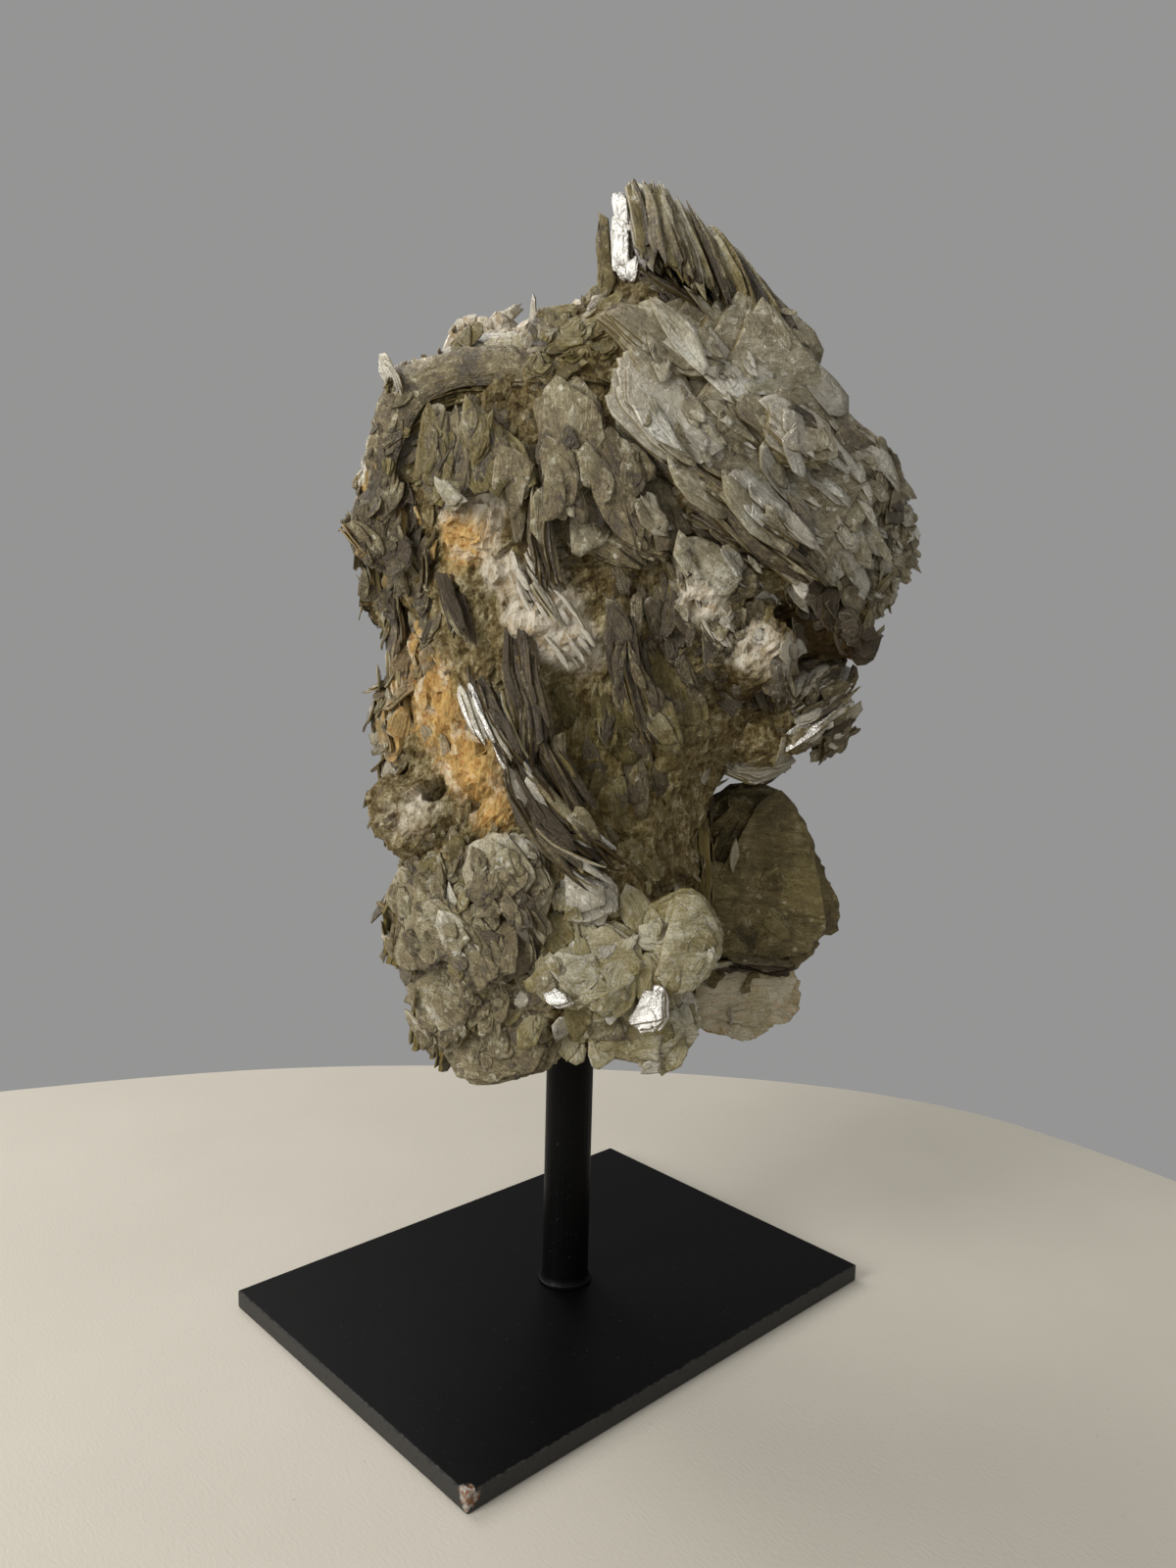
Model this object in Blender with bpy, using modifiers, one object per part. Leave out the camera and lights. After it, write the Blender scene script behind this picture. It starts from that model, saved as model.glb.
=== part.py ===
"""Mica specimen on a black steel stand: a base plate, a round post and the grown crystal mass.

Lengths are millimetres until MM turns them into Blender's metres. The stand sits square to
the X and Y axes, with the plate's underside on z = 0. The specimen is described in its own
front view: x runs across it, y runs away from the viewer, z is the height above the table.
FRONT_TURN then turns it about the post, because it isn't mounted square to its plate.
"""

import math
import random
from collections import namedtuple

import bmesh
import bpy
from mathutils import Matrix, Vector, noise

MM = 0.001
SEED = 7

# Stand, in inch stock
PLATE_LONG, PLATE_SHORT, PLATE_THICK = 139.7, 101.6, 4.8
PLATE_BEVEL = 0.5
POST_RADIUS = 6.35
POST_X, POST_Y = 1.5, -1.5
POST_TOP = 112.0
WELD_FLARE, WELD_HEIGHT = 1.0, 2.4
POST_STEPS = 28
FIT_GAP = 0.3

# Specimen
FRONT_TURN = math.radians(-43.2)
CORE_POINTS = 16
CORE_SQUARENESS = 2.5
CORE_ROUGHNESS = 2.2
LEAF_POINTS = 7
EDGE_RAGGED = 0.14
LEAF_SHRINK = 0.84
SUNK = 0.8  # share of a stack that lies behind its middle

# Sections of the mass: height, left, right, front, back
CORE = (
    (78, -24, 18, -20, 8),
    (86, -33, 28, -28, 16),
    (98, -38, 33, -31, 22),
    (114, -40, 34, -32, 26),
    (130, -43, 35, -32, 30),
    (143, -46, 37, -33, 32),
    (155, -44, 44, -33, 34),
    (169, -42, 58, -34, 36),
    (183, -43, 66, -36, 38),
    (199, -48, 72, -37, 38),
    (213, -49, 73, -38, 38),
    (228, -45, 68, -37, 35),
    (241, -36, 59, -34, 30),
    (252, -18, 51, -30, 24),
    (262, 6, 41, -23, 12),
    (273, 12, 34, -19, 6),
)

Plate = namedtuple("Plate", "name outline depth turn lift thick leaves")
Book = namedtuple("Book", "name centre turn lift grain length width thick leaves bend")
Lump = namedtuple("Lump", "name centre radii")

# Broad plates: the outline as seen from the front (across, height), and the depth of its middle.
# turn is the side that the plate faces, 0 to the front and 90 to the right. lift is how far up.
PLATES = (
    Plate("head", ((8, 254), (8, 232), (23, 219), (38, 207), (49, 198), (64, 191), (75, 195), (84, 201),
                   (82, 214), (73, 228), (64, 237), (56, 245), (40, 260), (24, 262)), -31, 20, 5, 18, 3),
    Plate("belly", ((-7, 170), (14, 168), (23, 149), (32, 139), (29, 128), (5, 129), (-4, 145)),
          -32, -6, 4, 8, 2),
    Plate("paddle", ((41, 142), (52, 144), (60, 139), (66, 130), (74, 112), (70, 101), (59, 94), (36, 94),
                     (30, 112), (31, 131)), 2, 6, 4, 11, 3),
    Plate("paddle_foot", ((26, 98), (60, 94), (62, 87), (56, 81), (49, 76), (41, 76), (30, 84)), -6, 4, 10, 9, 2),
    Plate("foot_front", ((4, 96), (20, 99), (35, 95), (36, 87), (29, 75), (19, 78), (8, 82)),
          -29, 8, 6, 11, 3),
    Plate("foot_left", ((-12, 106), (-4, 119), (6, 116), (15, 112), (20, 102), (18, 93), (6, 92)),
          -34, -4, 10, 7, 2),
    Plate("foot_right", ((15, 116), (27, 121), (33, 121), (39, 113), (37, 102), (27, 95), (20, 99)),
          -33, 12, 6, 7, 2),
    Plate("left_foot", ((-32, 94), (-20, 98), (4, 94), (5, 81), (-6, 73), (-17, 69), (-26, 69), (-31, 76)),
          -21, -14, 4, 14, 2),
)

# Books of mica. grain is the direction of the long side as seen from the front: 0 to the right, 90 up.
BOOKS = (
    # the lone spike and the bright plate at the left of the crest
    Book("spike", (8, -14, 269), -20, 8, 102, 32, 5, 3, 1, 0),
    Book("spike_back", (12, -9, 268), -50, 4, 98, 26, 12, 3, 1, 0),
    Book("silver_plate", (12, -18, 272), -38, 20, 98, 25, 9, 3, 1, 0),
    Book("little_leaf", (6, -10, 261), -20, 10, 90, 13, 9, 3, 1, 0),
    # shingles of the head, from the crest's foot down to the nose
    Book("brow_leaf", (19, -42, 247), 14, 10, -26, 27, 13, 6, 2, 0),
    Book("cheek_leaf", (23, -43, 229), 16, 8, -42, 34, 15, 6, 2, 0),
    Book("jaw_leaf", (41, -37, 213), 18, 6, -44, 36, 15, 6, 2, 0),
    Book("middle_shingle", (36, -37, 238), 18, 8, -48, 34, 12, 5, 1, 0),
    Book("temple_leaf", (46, -33, 250), 24, 12, -44, 32, 11, 6, 2, 0),
    Book("star_flake", (50, -35, 229), 18, 14, -36, 22, 15, 6, 2, 0),
    Book("blue_leaf", (61, -30, 204), 22, 2, -46, 26, 18, 6, 2, 0),
    Book("rim_leaf", (66, -22, 227), 30, 6, -56, 24, 13, 6, 2, 0),
    Book("nose", (78, -15, 206), 30, -6, -30, 19, 15, 7, 2, 0),
    Book("nose_low", (74, -17, 194), 28, -16, -20, 16, 10, 6, 2, 0),
    # the dark layered edge under the head slab, seen on its side
    Book("edge_high", (16, -34, 224), -48, -34, -50, 34, 12, 6, 3, 2),
    Book("edge_low", (35, -36, 206), -44, -38, -40, 38, 13, 7, 3, 2),
    # leaves of the middle, between the hood and the head
    Book("middle_leaf", (-1, -39, 225), -6, 10, 104, 27, 17, 6, 2, 0),
    Book("tongue", (11, -41, 213), 4, 8, 118, 32, 12, 6, 2, 0),
    Book("bar", (-16, -38, 221), -8, 12, 122, 24, 10, 6, 2, 0),
    Book("brown_leaf", (-28, -35, 222), -14, 14, 108, 21, 15, 7, 2, 0),
    Book("low_leaf", (7, -39, 204), 0, 2, 148, 26, 12, 6, 2, 0),
    Book("under_nose_leaf", (30, -39, 198), 8, 4, 150, 16, 12, 4, 2, 0),
    # the hood: bent sheets that fold over the upper left
    Book("hood_outer", (-35, -14, 234), -34, 42, 42, 34, 30, 7, 3, -4),
    Book("hood_front", (-34, -27, 232), -20, 52, 40, 34, 16, 5, 3, -4),
    Book("hood_arch", (-8, -22, 240), -4, 66, -4, 44, 28, 6, 3, -4),
    Book("hood_olive", (1, -22, 248), 4, 26, 10, 26, 15, 5, 2, 1),
    Book("hood_side", (-47, -12, 215), -60, 12, 66, 26, 24, 8, 3, -2),
    # knobs and stained leaves down the left side
    Book("knob_high", (-42, -24, 212), -36, 14, 60, 22, 16, 9, 2, 0),
    Book("knob_low", (-36, -29, 200), -30, -6, 70, 20, 16, 8, 1, 0),
    Book("left_blade_high", (-45, -10, 187), -66, -4, 100, 34, 16, 6, 1, 0),
    Book("left_blade_low", (-45, -14, 160), -62, 4, 84, 26, 18, 7, 1, 0),
    Book("orange_cheek", (-35, -27, 165), -28, 4, 76, 32, 18, 7, 2, 0),
    Book("orange_slab", (-18, -33, 143), -8, 4, 120, 28, 19, 6, 2, 0),
    Book("stained_leaf", (-27, -35, 187), -18, 2, 112, 24, 13, 6, 2, 0),
    Book("white_leaf", (-8, -37, 199), -4, 6, 96, 24, 13, 6, 1, 0),
    # dark blades on edge that sweep down to the middle
    Book("blade_outer", (-17, -37, 165), -72, 0, 108, 40, 11, 5, 3, 4),
    Book("blade_middle", (-11, -38, 163), -76, 2, 97, 44, 12, 5, 3, 3),
    Book("blade_low", (0, -38, 138), -58, -26, 138, 36, 11, 6, 3, 3),
    Book("fin", (21, -38, 132), -20, -50, 166, 20, 9, 3, 2, 0),
    # ribs to the right of the middle
    Book("rib_left", (17, -35, 170), 46, 6, 106, 34, 13, 5, 2, 2),
    Book("rib_right", (29, -34, 178), 50, 4, 118, 26, 14, 5, 2, 2),
    Book("pillar", (24, -34, 170), 10, 2, 100, 28, 14, 6, 2, 0),
    # the hanging plates right of the neck, and their pointed tip
    Book("silver_ridges", (60, -17, 168), 30, -10, 40, 26, 18, 8, 3, 1),
    Book("tip", (66, -13, 161), 22, -8, -82, 17, 9, 5, 2, 0),
    Book("low_sparkle", (48, -16, 154), 12, 22, 20, 20, 12, 7, 2, 0),
    Book("dark_crystal", (63, -25, 186), 16, -6, -12, 22, 11, 10, 2, 0),
    # lower left: upright shingles
    Book("leg_high", (-13, -35, 125), -10, 10, 110, 22, 16, 6, 2, 0),
    Book("leg_left", (-34, -25, 116), -26, 6, 104, 28, 18, 7, 2, 0),
    Book("leg_middle", (-22, -31, 110), -16, 6, 118, 24, 17, 6, 2, 0),
    Book("leg_low", (-30, -22, 92), -26, -4, 104, 28, 17, 8, 2, 1),
    Book("pale_leaf", (4, -34, 121), -2, 14, 150, 15, 11, 5, 1, 0),
    Book("glint_leaf", (24, -34, 95), -4, 30, 10, 13, 8, 4, 1, 0),
    Book("neck_leaf", (36, -20, 140), 34, 8, 96, 24, 14, 5, 2, 0),
    # the right side and the top, round the corner from the front
    Book("side_nose", (71, 6, 213), 84, 6, 70, 32, 24, 8, 1, 0),
    Book("side_brow", (61, 2, 237), 74, 34, 100, 28, 24, 8, 1, 0),
    Book("side_jaw", (62, 6, 184), 82, -22, 110, 30, 24, 8, 1, 0),
    Book("side_neck", (42, 6, 158), 78, -34, 84, 26, 24, 8, 1, 0),
    Book("side_low", (35, -8, 122), 84, 0, 96, 30, 20, 8, 1, 0),
    Book("crown", (38, -4, 259), 70, 50, 110, 24, 16, 7, 1, 0),
    Book("crown_back", (20, 10, 260), 172, 54, 80, 30, 26, 8, 1, 0),
)

# Feldspar and quartz between the books
LUMPS = (
    Lump("top_left", (-22, 1, 249), (13, 14, 11)),
    Lump("top_middle", (-7, 4, 250), (12, 13, 10)),
    Lump("top_right", (5, 2, 252), (9, 10, 9)),
    Lump("left_bump", (-48, 5, 192), (7, 9, 11)),
    Lump("pale_slab", (-37, -20, 138), (13, 11, 11)),
    Lump("white_middle", (-5, -30, 185), (13, 9, 13)),
    Lump("cream_high", (-23, -28, 208), (9, 8, 9)),
    Lump("right_high", (29, -31, 192), (11, 9, 12)),
    Lump("right_low", (43, -28, 180), (12, 9, 12)),
    Lump("underside", (0, -6, 86), (26, 20, 10)),
)

# The back carries rows of overlapping books: height of each row, and the sides that they face
BACK_ROWS = (92, 115, 139, 163, 187, 211, 234)
BACK_TURNS = (100, 132, 164, 196, 228, 256)
BACK_LENGTH, BACK_WIDTH, BACK_THICK = 35, 25, 8

# Small hollows in the face: middle and radii
PITS = (
    Lump("dark_hole", (51, -37, 186), (4, 5, 3.5)),
    Lump("split", (-33, -33, 143), (2, 4, 5)),
)


def rotation_to(turn, lift):
    """Columns: the side's right, its up, and the way it faces."""
    turn, lift = math.radians(turn), math.radians(lift)
    facing = Vector((math.sin(turn) * math.cos(lift), -math.cos(turn) * math.cos(lift), math.sin(lift)))
    right = Vector((math.cos(turn), math.sin(turn), 0))
    return right, facing.cross(right), facing


def loft(rings, flat):
    """One closed mesh through rings of equally many points. Flat rings keep whole faces."""
    mesh = bmesh.new()
    loops = [[mesh.verts.new(point) for point in ring] for ring in rings]
    count = len(loops[0])
    for low, high in zip(loops, loops[1:]):
        for i in range(count):
            j = (i + 1) % count
            mesh.faces.new((low[i], low[j], high[j], high[i]))
    for loop in (loops[0], loops[-1]):
        if flat:
            mesh.faces.new(loop)
            continue
        middle = mesh.verts.new(sum((v.co for v in loop), Vector()) / count)
        for i in range(count):
            mesh.faces.new((loop[i], loop[(i + 1) % count], middle))
    bmesh.ops.recalc_face_normals(mesh, faces=mesh.faces)
    if not flat:
        bmesh.ops.triangulate(mesh, faces=mesh.faces)
    return mesh


def leaf_outline(length, width, rng):
    """A leaf with one blunt and one narrower end: (along, across) round the origin."""
    points = []
    for i in range(LEAF_POINTS):
        angle = math.tau * (i + 0.5 + rng.uniform(-0.25, 0.25)) / LEAF_POINTS
        along = math.cos(angle)
        taper = 1 - 0.28 * along
        ragged = 1 + rng.uniform(-EDGE_RAGGED, EDGE_RAGGED)
        points.append((0.54 * length * along * ragged, 0.54 * width * math.sin(angle) * taper * ragged))
    return points


def stacked_leaves(outline, thick, leaves, bend, length, rng):
    """Rings of a stack whose leaves end one behind the other, as (along, across, outward).

    Heights only grow from ring to ring, so the surface can't cross itself.
    """
    rings = []
    layer = thick / leaves
    shift = Vector((0, 0))
    for level in range(leaves):
        size = LEAF_SHRINK ** level
        base = level * layer - thick * SUNK
        for height in (base + 0.12 * layer, base + 0.94 * layer):
            ring = []
            for along, across in outline:
                u, v = along * size + shift.x, across * size + shift.y
                ring.append((u, v, height + bend * (2 * u / length) ** 2))
            rings.append(ring)
        shift += Vector((rng.uniform(-0.05, 0.05), rng.uniform(-0.03, 0.03))) * length
    return rings


def book_mesh(book, rng):
    right, up, facing = rotation_to(book.turn, book.lift)
    grain = math.radians(book.grain)
    along = right * math.cos(grain) + up * math.sin(grain)
    across = facing.cross(along)
    outline = leaf_outline(book.length, book.width, rng)
    stack = stacked_leaves(outline, book.thick, book.leaves, book.bend, book.length, rng)
    centre = Vector(book.centre)
    rings = [[centre + along * u + across * v + facing * h for u, v, h in ring] for ring in stack]
    return loft(rings, flat=book.bend == 0)


def plate_mesh(plate, rng):
    """The outline is laid onto the plate's plane along the line of sight, then stacked."""
    right, up, facing = rotation_to(plate.turn, plate.lift)
    middle_x = sum(x for x, _ in plate.outline) / len(plate.outline)
    middle_z = sum(z for _, z in plate.outline) / len(plate.outline)
    centre = Vector((middle_x, plate.depth, middle_z))
    flat = []
    for x, z in plate.outline:
        offset = Vector((x - middle_x, 0, z - middle_z))
        offset.y = -offset.dot(facing) / facing.y
        flat.append((offset.dot(right), offset.dot(up)))
    length = max(u for u, _ in flat) - min(u for u, _ in flat)
    stack = stacked_leaves(flat, plate.thick, plate.leaves, 0, length, rng)
    rings = [[centre + right * u + up * v + facing * h for u, v, h in ring] for ring in stack]
    return loft(rings, flat=True)


def lump_mesh(lump, subdivisions=2):
    mesh = bmesh.new()
    bmesh.ops.create_icosphere(mesh, subdivisions=subdivisions, radius=1)
    for vert in mesh.verts:
        swell = 1 + 0.16 * noise.noise(vert.co * 1.7 + Vector(lump.centre))
        vert.co = Vector(r * c * swell for r, c in zip(lump.radii, vert.co)) + Vector(lump.centre)
    return mesh


def core_at(height):
    """Left, right, front and back of the mass at a height."""
    for low, high in zip(CORE, CORE[1:]):
        if low[0] <= height <= high[0]:
            t = (height - low[0]) / (high[0] - low[0])
            return [a + (b - a) * t for a, b in zip(low[1:], high[1:])]
    return CORE[0][1:] if height < CORE[0][0] else CORE[-1][1:]


def core_point(height, angle, roughness=CORE_ROUGHNESS):
    """A point on the mass. The angle is 0 to the front and a quarter turn to the right."""
    left, right, front, back = core_at(height)
    power = 2 / CORE_SQUARENESS
    x, y = math.sin(angle), -math.cos(angle)
    x = math.copysign(abs(x) ** power, x) * (right - left) / 2
    y = math.copysign(abs(y) ** power, y) * (back - front) / 2
    point = Vector(((left + right) / 2 + x, (front + back) / 2 + y, height))
    out = Vector((x, y, 0)).normalized()
    return point + out * roughness * noise.noise(point / 9)


def core_mesh():
    rings = []
    for section in CORE:
        angles = [math.tau * i / CORE_POINTS for i in range(CORE_POINTS)]
        rings.append([core_point(section[0], angle) for angle in angles])
    return loft(rings, flat=False)


def back_books(rng):
    """Books that clad the sides and the back, each row set off from the one below."""
    books = []
    for row, height in enumerate(BACK_ROWS):
        for turn in BACK_TURNS:
            side = math.radians(turn + (16 if row % 2 else 0))
            place = core_point(height + rng.uniform(-4, 4), side, 0)
            name = f"back_{row}_{turn}"
            grain = 90 + rng.uniform(-35, 35)
            scale = rng.uniform(0.8, 1.15)
            lift = rng.uniform(-8, 22) - (14 if height < 100 else 0)
            books.append(Book(name, tuple(place), turn + rng.uniform(-12, 12), lift, grain,
                              BACK_LENGTH * scale, BACK_WIDTH * scale, BACK_THICK, 1, 0))
    return books


def crest_books():
    """The fan of long blades on top: tips along an arc, feet close together."""
    books = []
    count = 9
    for i in range(count):
        t = i / (count - 1)
        tip = Vector((10 + 27 * t, -19 + 8 * t, 287 - 15 * t ** 1.8))
        foot = Vector((17 + 19 * t, -32 + 8 * t, 259 - 8 * t))
        run = tip - foot
        centre = (tip + foot) / 2
        grain = math.degrees(math.atan2(run.z, run.x))
        turn = -10 + 26 * (i % 2)
        books.append(Book(f"crest_{i}", tuple(centre), turn, 24, grain, run.length, 6.5, 5, 1, 0))
    return books


def add_object(name, mesh, collection, material=None, turn=0.0):
    """A bmesh in millimetres becomes an object in metres."""
    data = bpy.data.meshes.new(name)
    bmesh.ops.transform(mesh, matrix=Matrix.Scale(MM, 4), verts=mesh.verts)
    mesh.to_mesh(data)
    mesh.free()
    thing = bpy.data.objects.new(name, data)
    collection.objects.link(thing)
    thing.rotation_euler.z = turn
    if material:
        data.materials.append(material)
    return thing


def hide(thing):
    thing.hide_render = True
    thing.display_type = "WIRE"


def new_material(name, colour, roughness, metallic=0.0):
    material = bpy.data.materials.new(name)
    material.use_nodes = True
    shader = material.node_tree.nodes["Principled BSDF"]
    shader.inputs["Base Color"].default_value = (*colour, 1)
    shader.inputs["Roughness"].default_value = roughness
    shader.inputs["Metallic"].default_value = metallic
    return material


def clear_scene():
    for thing in list(bpy.data.objects):
        bpy.data.objects.remove(thing, do_unlink=True)


def new_collection(name):
    collection = bpy.data.collections.new(name)
    bpy.context.scene.collection.children.link(collection)
    return collection


def make_base_plate(collection, paint):
    mesh = bmesh.new()
    bmesh.ops.create_cube(mesh, size=1)
    bmesh.ops.scale(mesh, vec=(PLATE_LONG, PLATE_SHORT, PLATE_THICK), verts=mesh.verts)
    bmesh.ops.translate(mesh, vec=(0, 0, PLATE_THICK / 2), verts=mesh.verts)
    plate = add_object("base_plate", mesh, collection, paint)
    bevel = plate.modifiers.new("worn edges", "BEVEL")
    bevel.width = PLATE_BEVEL * MM
    bevel.segments = 2
    return plate


def make_post(collection, paint):
    """A turned profile: rod, weld flare at the foot, and a small chamfer at the hidden top."""
    foot = PLATE_THICK + FIT_GAP
    profile = [(0, POST_TOP), (POST_RADIUS - 0.6, POST_TOP), (POST_RADIUS, POST_TOP - 0.6)]
    profile.append((POST_RADIUS, foot + WELD_HEIGHT))
    for step in range(1, 5):
        angle = math.radians(90 * step / 4)
        profile.append((POST_RADIUS + WELD_FLARE * (1 - math.cos(angle)),
                        foot + WELD_HEIGHT * (1 - 0.8 * math.sin(angle))))
    profile += [(POST_RADIUS + WELD_FLARE, foot), (0, foot)]
    mesh = bmesh.new()
    points = [mesh.verts.new((x, 0, z)) for x, z in profile]
    for first, second in zip(points, points[1:]):
        mesh.edges.new((first, second))
    post = add_object("post", mesh, collection, paint)
    post.location = (POST_X * MM, POST_Y * MM, 0)
    screw = post.modifiers.new("turned", "SCREW")
    screw.steps = screw.render_steps = POST_STEPS
    screw.use_merge_vertices = True
    screw.merge_threshold = 0.00001
    screw.use_smooth_shade = True
    return post


def make_growths(collection):
    """Every book, plate and lump as its own closed mesh, for the union."""
    rng = random.Random(SEED)
    meshes = [(plate.name, plate_mesh(plate, rng)) for plate in PLATES]
    books = list(BOOKS) + crest_books() + back_books(rng)
    meshes += [(book.name, book_mesh(book, rng)) for book in books]
    meshes += [("lump_" + lump.name, lump_mesh(lump)) for lump in LUMPS]
    for name, mesh in meshes:
        hide(add_object("grown_" + name, mesh, collection, turn=FRONT_TURN))


def make_socket(collection):
    """The blind hole that takes the post."""
    mesh = bmesh.new()
    bottom, top = 40.0, POST_TOP + FIT_GAP
    bmesh.ops.create_cone(mesh, cap_ends=True, segments=24, radius1=POST_RADIUS + FIT_GAP + 0.1,
                          radius2=POST_RADIUS + FIT_GAP + 0.1, depth=top - bottom)
    bmesh.ops.translate(mesh, vec=(0, 0, (top + bottom) / 2), verts=mesh.verts)
    socket = add_object("socket_cutter", mesh, collection)
    socket.location = (POST_X * MM, POST_Y * MM, 0)
    hide(socket)


def make_pits(collection):
    for pit in PITS:
        hide(add_object("pit_" + pit.name, lump_mesh(pit, 1), collection, turn=FRONT_TURN))


def islands(mesh):
    """The faces of each connected shell of a bmesh."""
    left = set(mesh.faces)
    found = []
    while left:
        shell, edge_of_shell = set(), [left.pop()]
        while edge_of_shell:
            face = edge_of_shell.pop()
            shell.add(face)
            for edge in face.edges:
                near = [other for other in edge.link_faces if other in left]
                left.difference_update(near)
                edge_of_shell += near
        found.append(shell)
    return found


def fill_pockets(thing):
    """Applies the modifiers and drops the small closed pockets that neighbouring books shut off."""
    bpy.context.view_layer.update()
    whole = thing.evaluated_get(bpy.context.evaluated_depsgraph_get())
    mesh = bmesh.new()
    mesh.from_mesh(bpy.data.meshes.new_from_object(whole))
    shells = sorted(islands(mesh), key=len)
    pockets = [face for shell in shells[:-1] for face in shell]
    bmesh.ops.delete(mesh, geom=pockets, context="FACES")
    thing.modifiers.clear()
    mesh.to_mesh(thing.data)
    mesh.free()


def boolean(thing, name, operation, collection):
    modifier = thing.modifiers.new(name, "BOOLEAN")
    modifier.operation = operation
    modifier.solver = "EXACT"
    modifier.operand_type = "COLLECTION"
    modifier.collection = collection


def make_crystal(collection, growths, cutters, mineral):
    crystal = add_object("mica_crystal", core_mesh(), collection, mineral, FRONT_TURN)
    boolean(crystal, "grown together", "UNION", growths)
    fill_pockets(crystal)
    boolean(crystal, "post hole and pits", "DIFFERENCE", cutters)
    return crystal


def main():
    clear_scene()
    parts = new_collection("mica specimen on a stand")
    growths = new_collection("growths")
    cutters = new_collection("cutters")
    paint = new_material("black paint", (0.012, 0.012, 0.013), 0.45)
    mineral = new_material("mica and feldspar", (0.17, 0.14, 0.10), 0.4)
    make_base_plate(parts, paint)
    make_post(parts, paint)
    make_growths(growths)
    make_socket(cutters)
    make_pits(cutters)
    make_crystal(parts, growths, cutters, mineral)


main()
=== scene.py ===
"""Looks of the mica specimen: books, flakes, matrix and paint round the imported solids.

The specimen is described in millimetres in its own front view, as the solids are: x runs
across it, y runs away from the viewer, z is the height above the table. to_frame() turns
that view about Z and into metres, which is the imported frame.
"""

import math
from collections import namedtuple

import bmesh
import bpy
import numpy as np
from mathutils import Matrix, Vector, noise
from mathutils.bvhtree import BVHTree


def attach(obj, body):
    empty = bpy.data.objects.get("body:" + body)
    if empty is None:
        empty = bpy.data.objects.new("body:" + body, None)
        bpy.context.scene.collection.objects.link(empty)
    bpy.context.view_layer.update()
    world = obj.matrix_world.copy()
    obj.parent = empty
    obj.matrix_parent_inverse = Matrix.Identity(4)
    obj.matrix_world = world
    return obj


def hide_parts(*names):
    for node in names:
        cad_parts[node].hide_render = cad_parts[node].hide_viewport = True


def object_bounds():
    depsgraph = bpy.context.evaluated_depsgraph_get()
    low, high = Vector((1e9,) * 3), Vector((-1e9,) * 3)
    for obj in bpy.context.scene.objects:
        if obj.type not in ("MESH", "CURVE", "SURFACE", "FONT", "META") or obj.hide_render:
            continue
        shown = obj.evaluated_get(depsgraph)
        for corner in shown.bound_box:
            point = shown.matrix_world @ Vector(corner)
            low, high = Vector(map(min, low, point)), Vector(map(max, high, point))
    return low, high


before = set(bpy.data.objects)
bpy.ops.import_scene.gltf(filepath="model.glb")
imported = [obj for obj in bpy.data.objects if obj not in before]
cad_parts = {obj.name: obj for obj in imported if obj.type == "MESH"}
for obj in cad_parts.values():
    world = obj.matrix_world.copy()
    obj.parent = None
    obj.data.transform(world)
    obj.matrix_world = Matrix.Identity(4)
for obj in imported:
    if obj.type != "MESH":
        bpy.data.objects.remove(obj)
CAD_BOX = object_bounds()

MM = 0.001
TURN = np.array(Matrix.Rotation(math.radians(-43.2), 3, "Z"))  # from the front view to the frame
SPECIMEN = "mica_crystal"
MIDDLE = (5, 0, 170)
MARGIN = 0.005  # metres
PLATE_HALF = (0.06985, 0.0508)  # half the base plate's sides, in metres
PLATE_CHIP = (-0.0695, -0.0505, 0.0035)  # its chipped corner
SEED = 20

# The photographed view: camera in the specimen's front view (mm), and its angles (degrees)
CAMERA_AT = (5.0, -311.0, 183.0)
CAMERA_PITCH, CAMERA_ROLL = 7.3, 1.5
CAMERA_LENS, SENSOR = 27.34, 36.0

# Sections of the mass: height, left, right, front, back
CORE = np.array((
    (78, -24, 18, -20, 8),
    (86, -33, 28, -28, 16),
    (98, -38, 33, -31, 22),
    (114, -40, 34, -32, 26),
    (130, -43, 35, -32, 30),
    (143, -46, 37, -33, 32),
    (155, -44, 44, -33, 34),
    (169, -42, 58, -34, 36),
    (183, -43, 66, -36, 38),
    (199, -48, 72, -37, 38),
    (213, -49, 73, -38, 38),
    (228, -45, 68, -37, 35),
    (241, -36, 59, -34, 30),
    (252, -18, 51, -30, 24),
    (262, 6, 41, -23, 12),
    (273, 12, 34, -19, 6),
), float)
CORE_SQUARENESS = 2.5
CORE_AROUND = 96
CORE_STEP = 1.6

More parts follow.
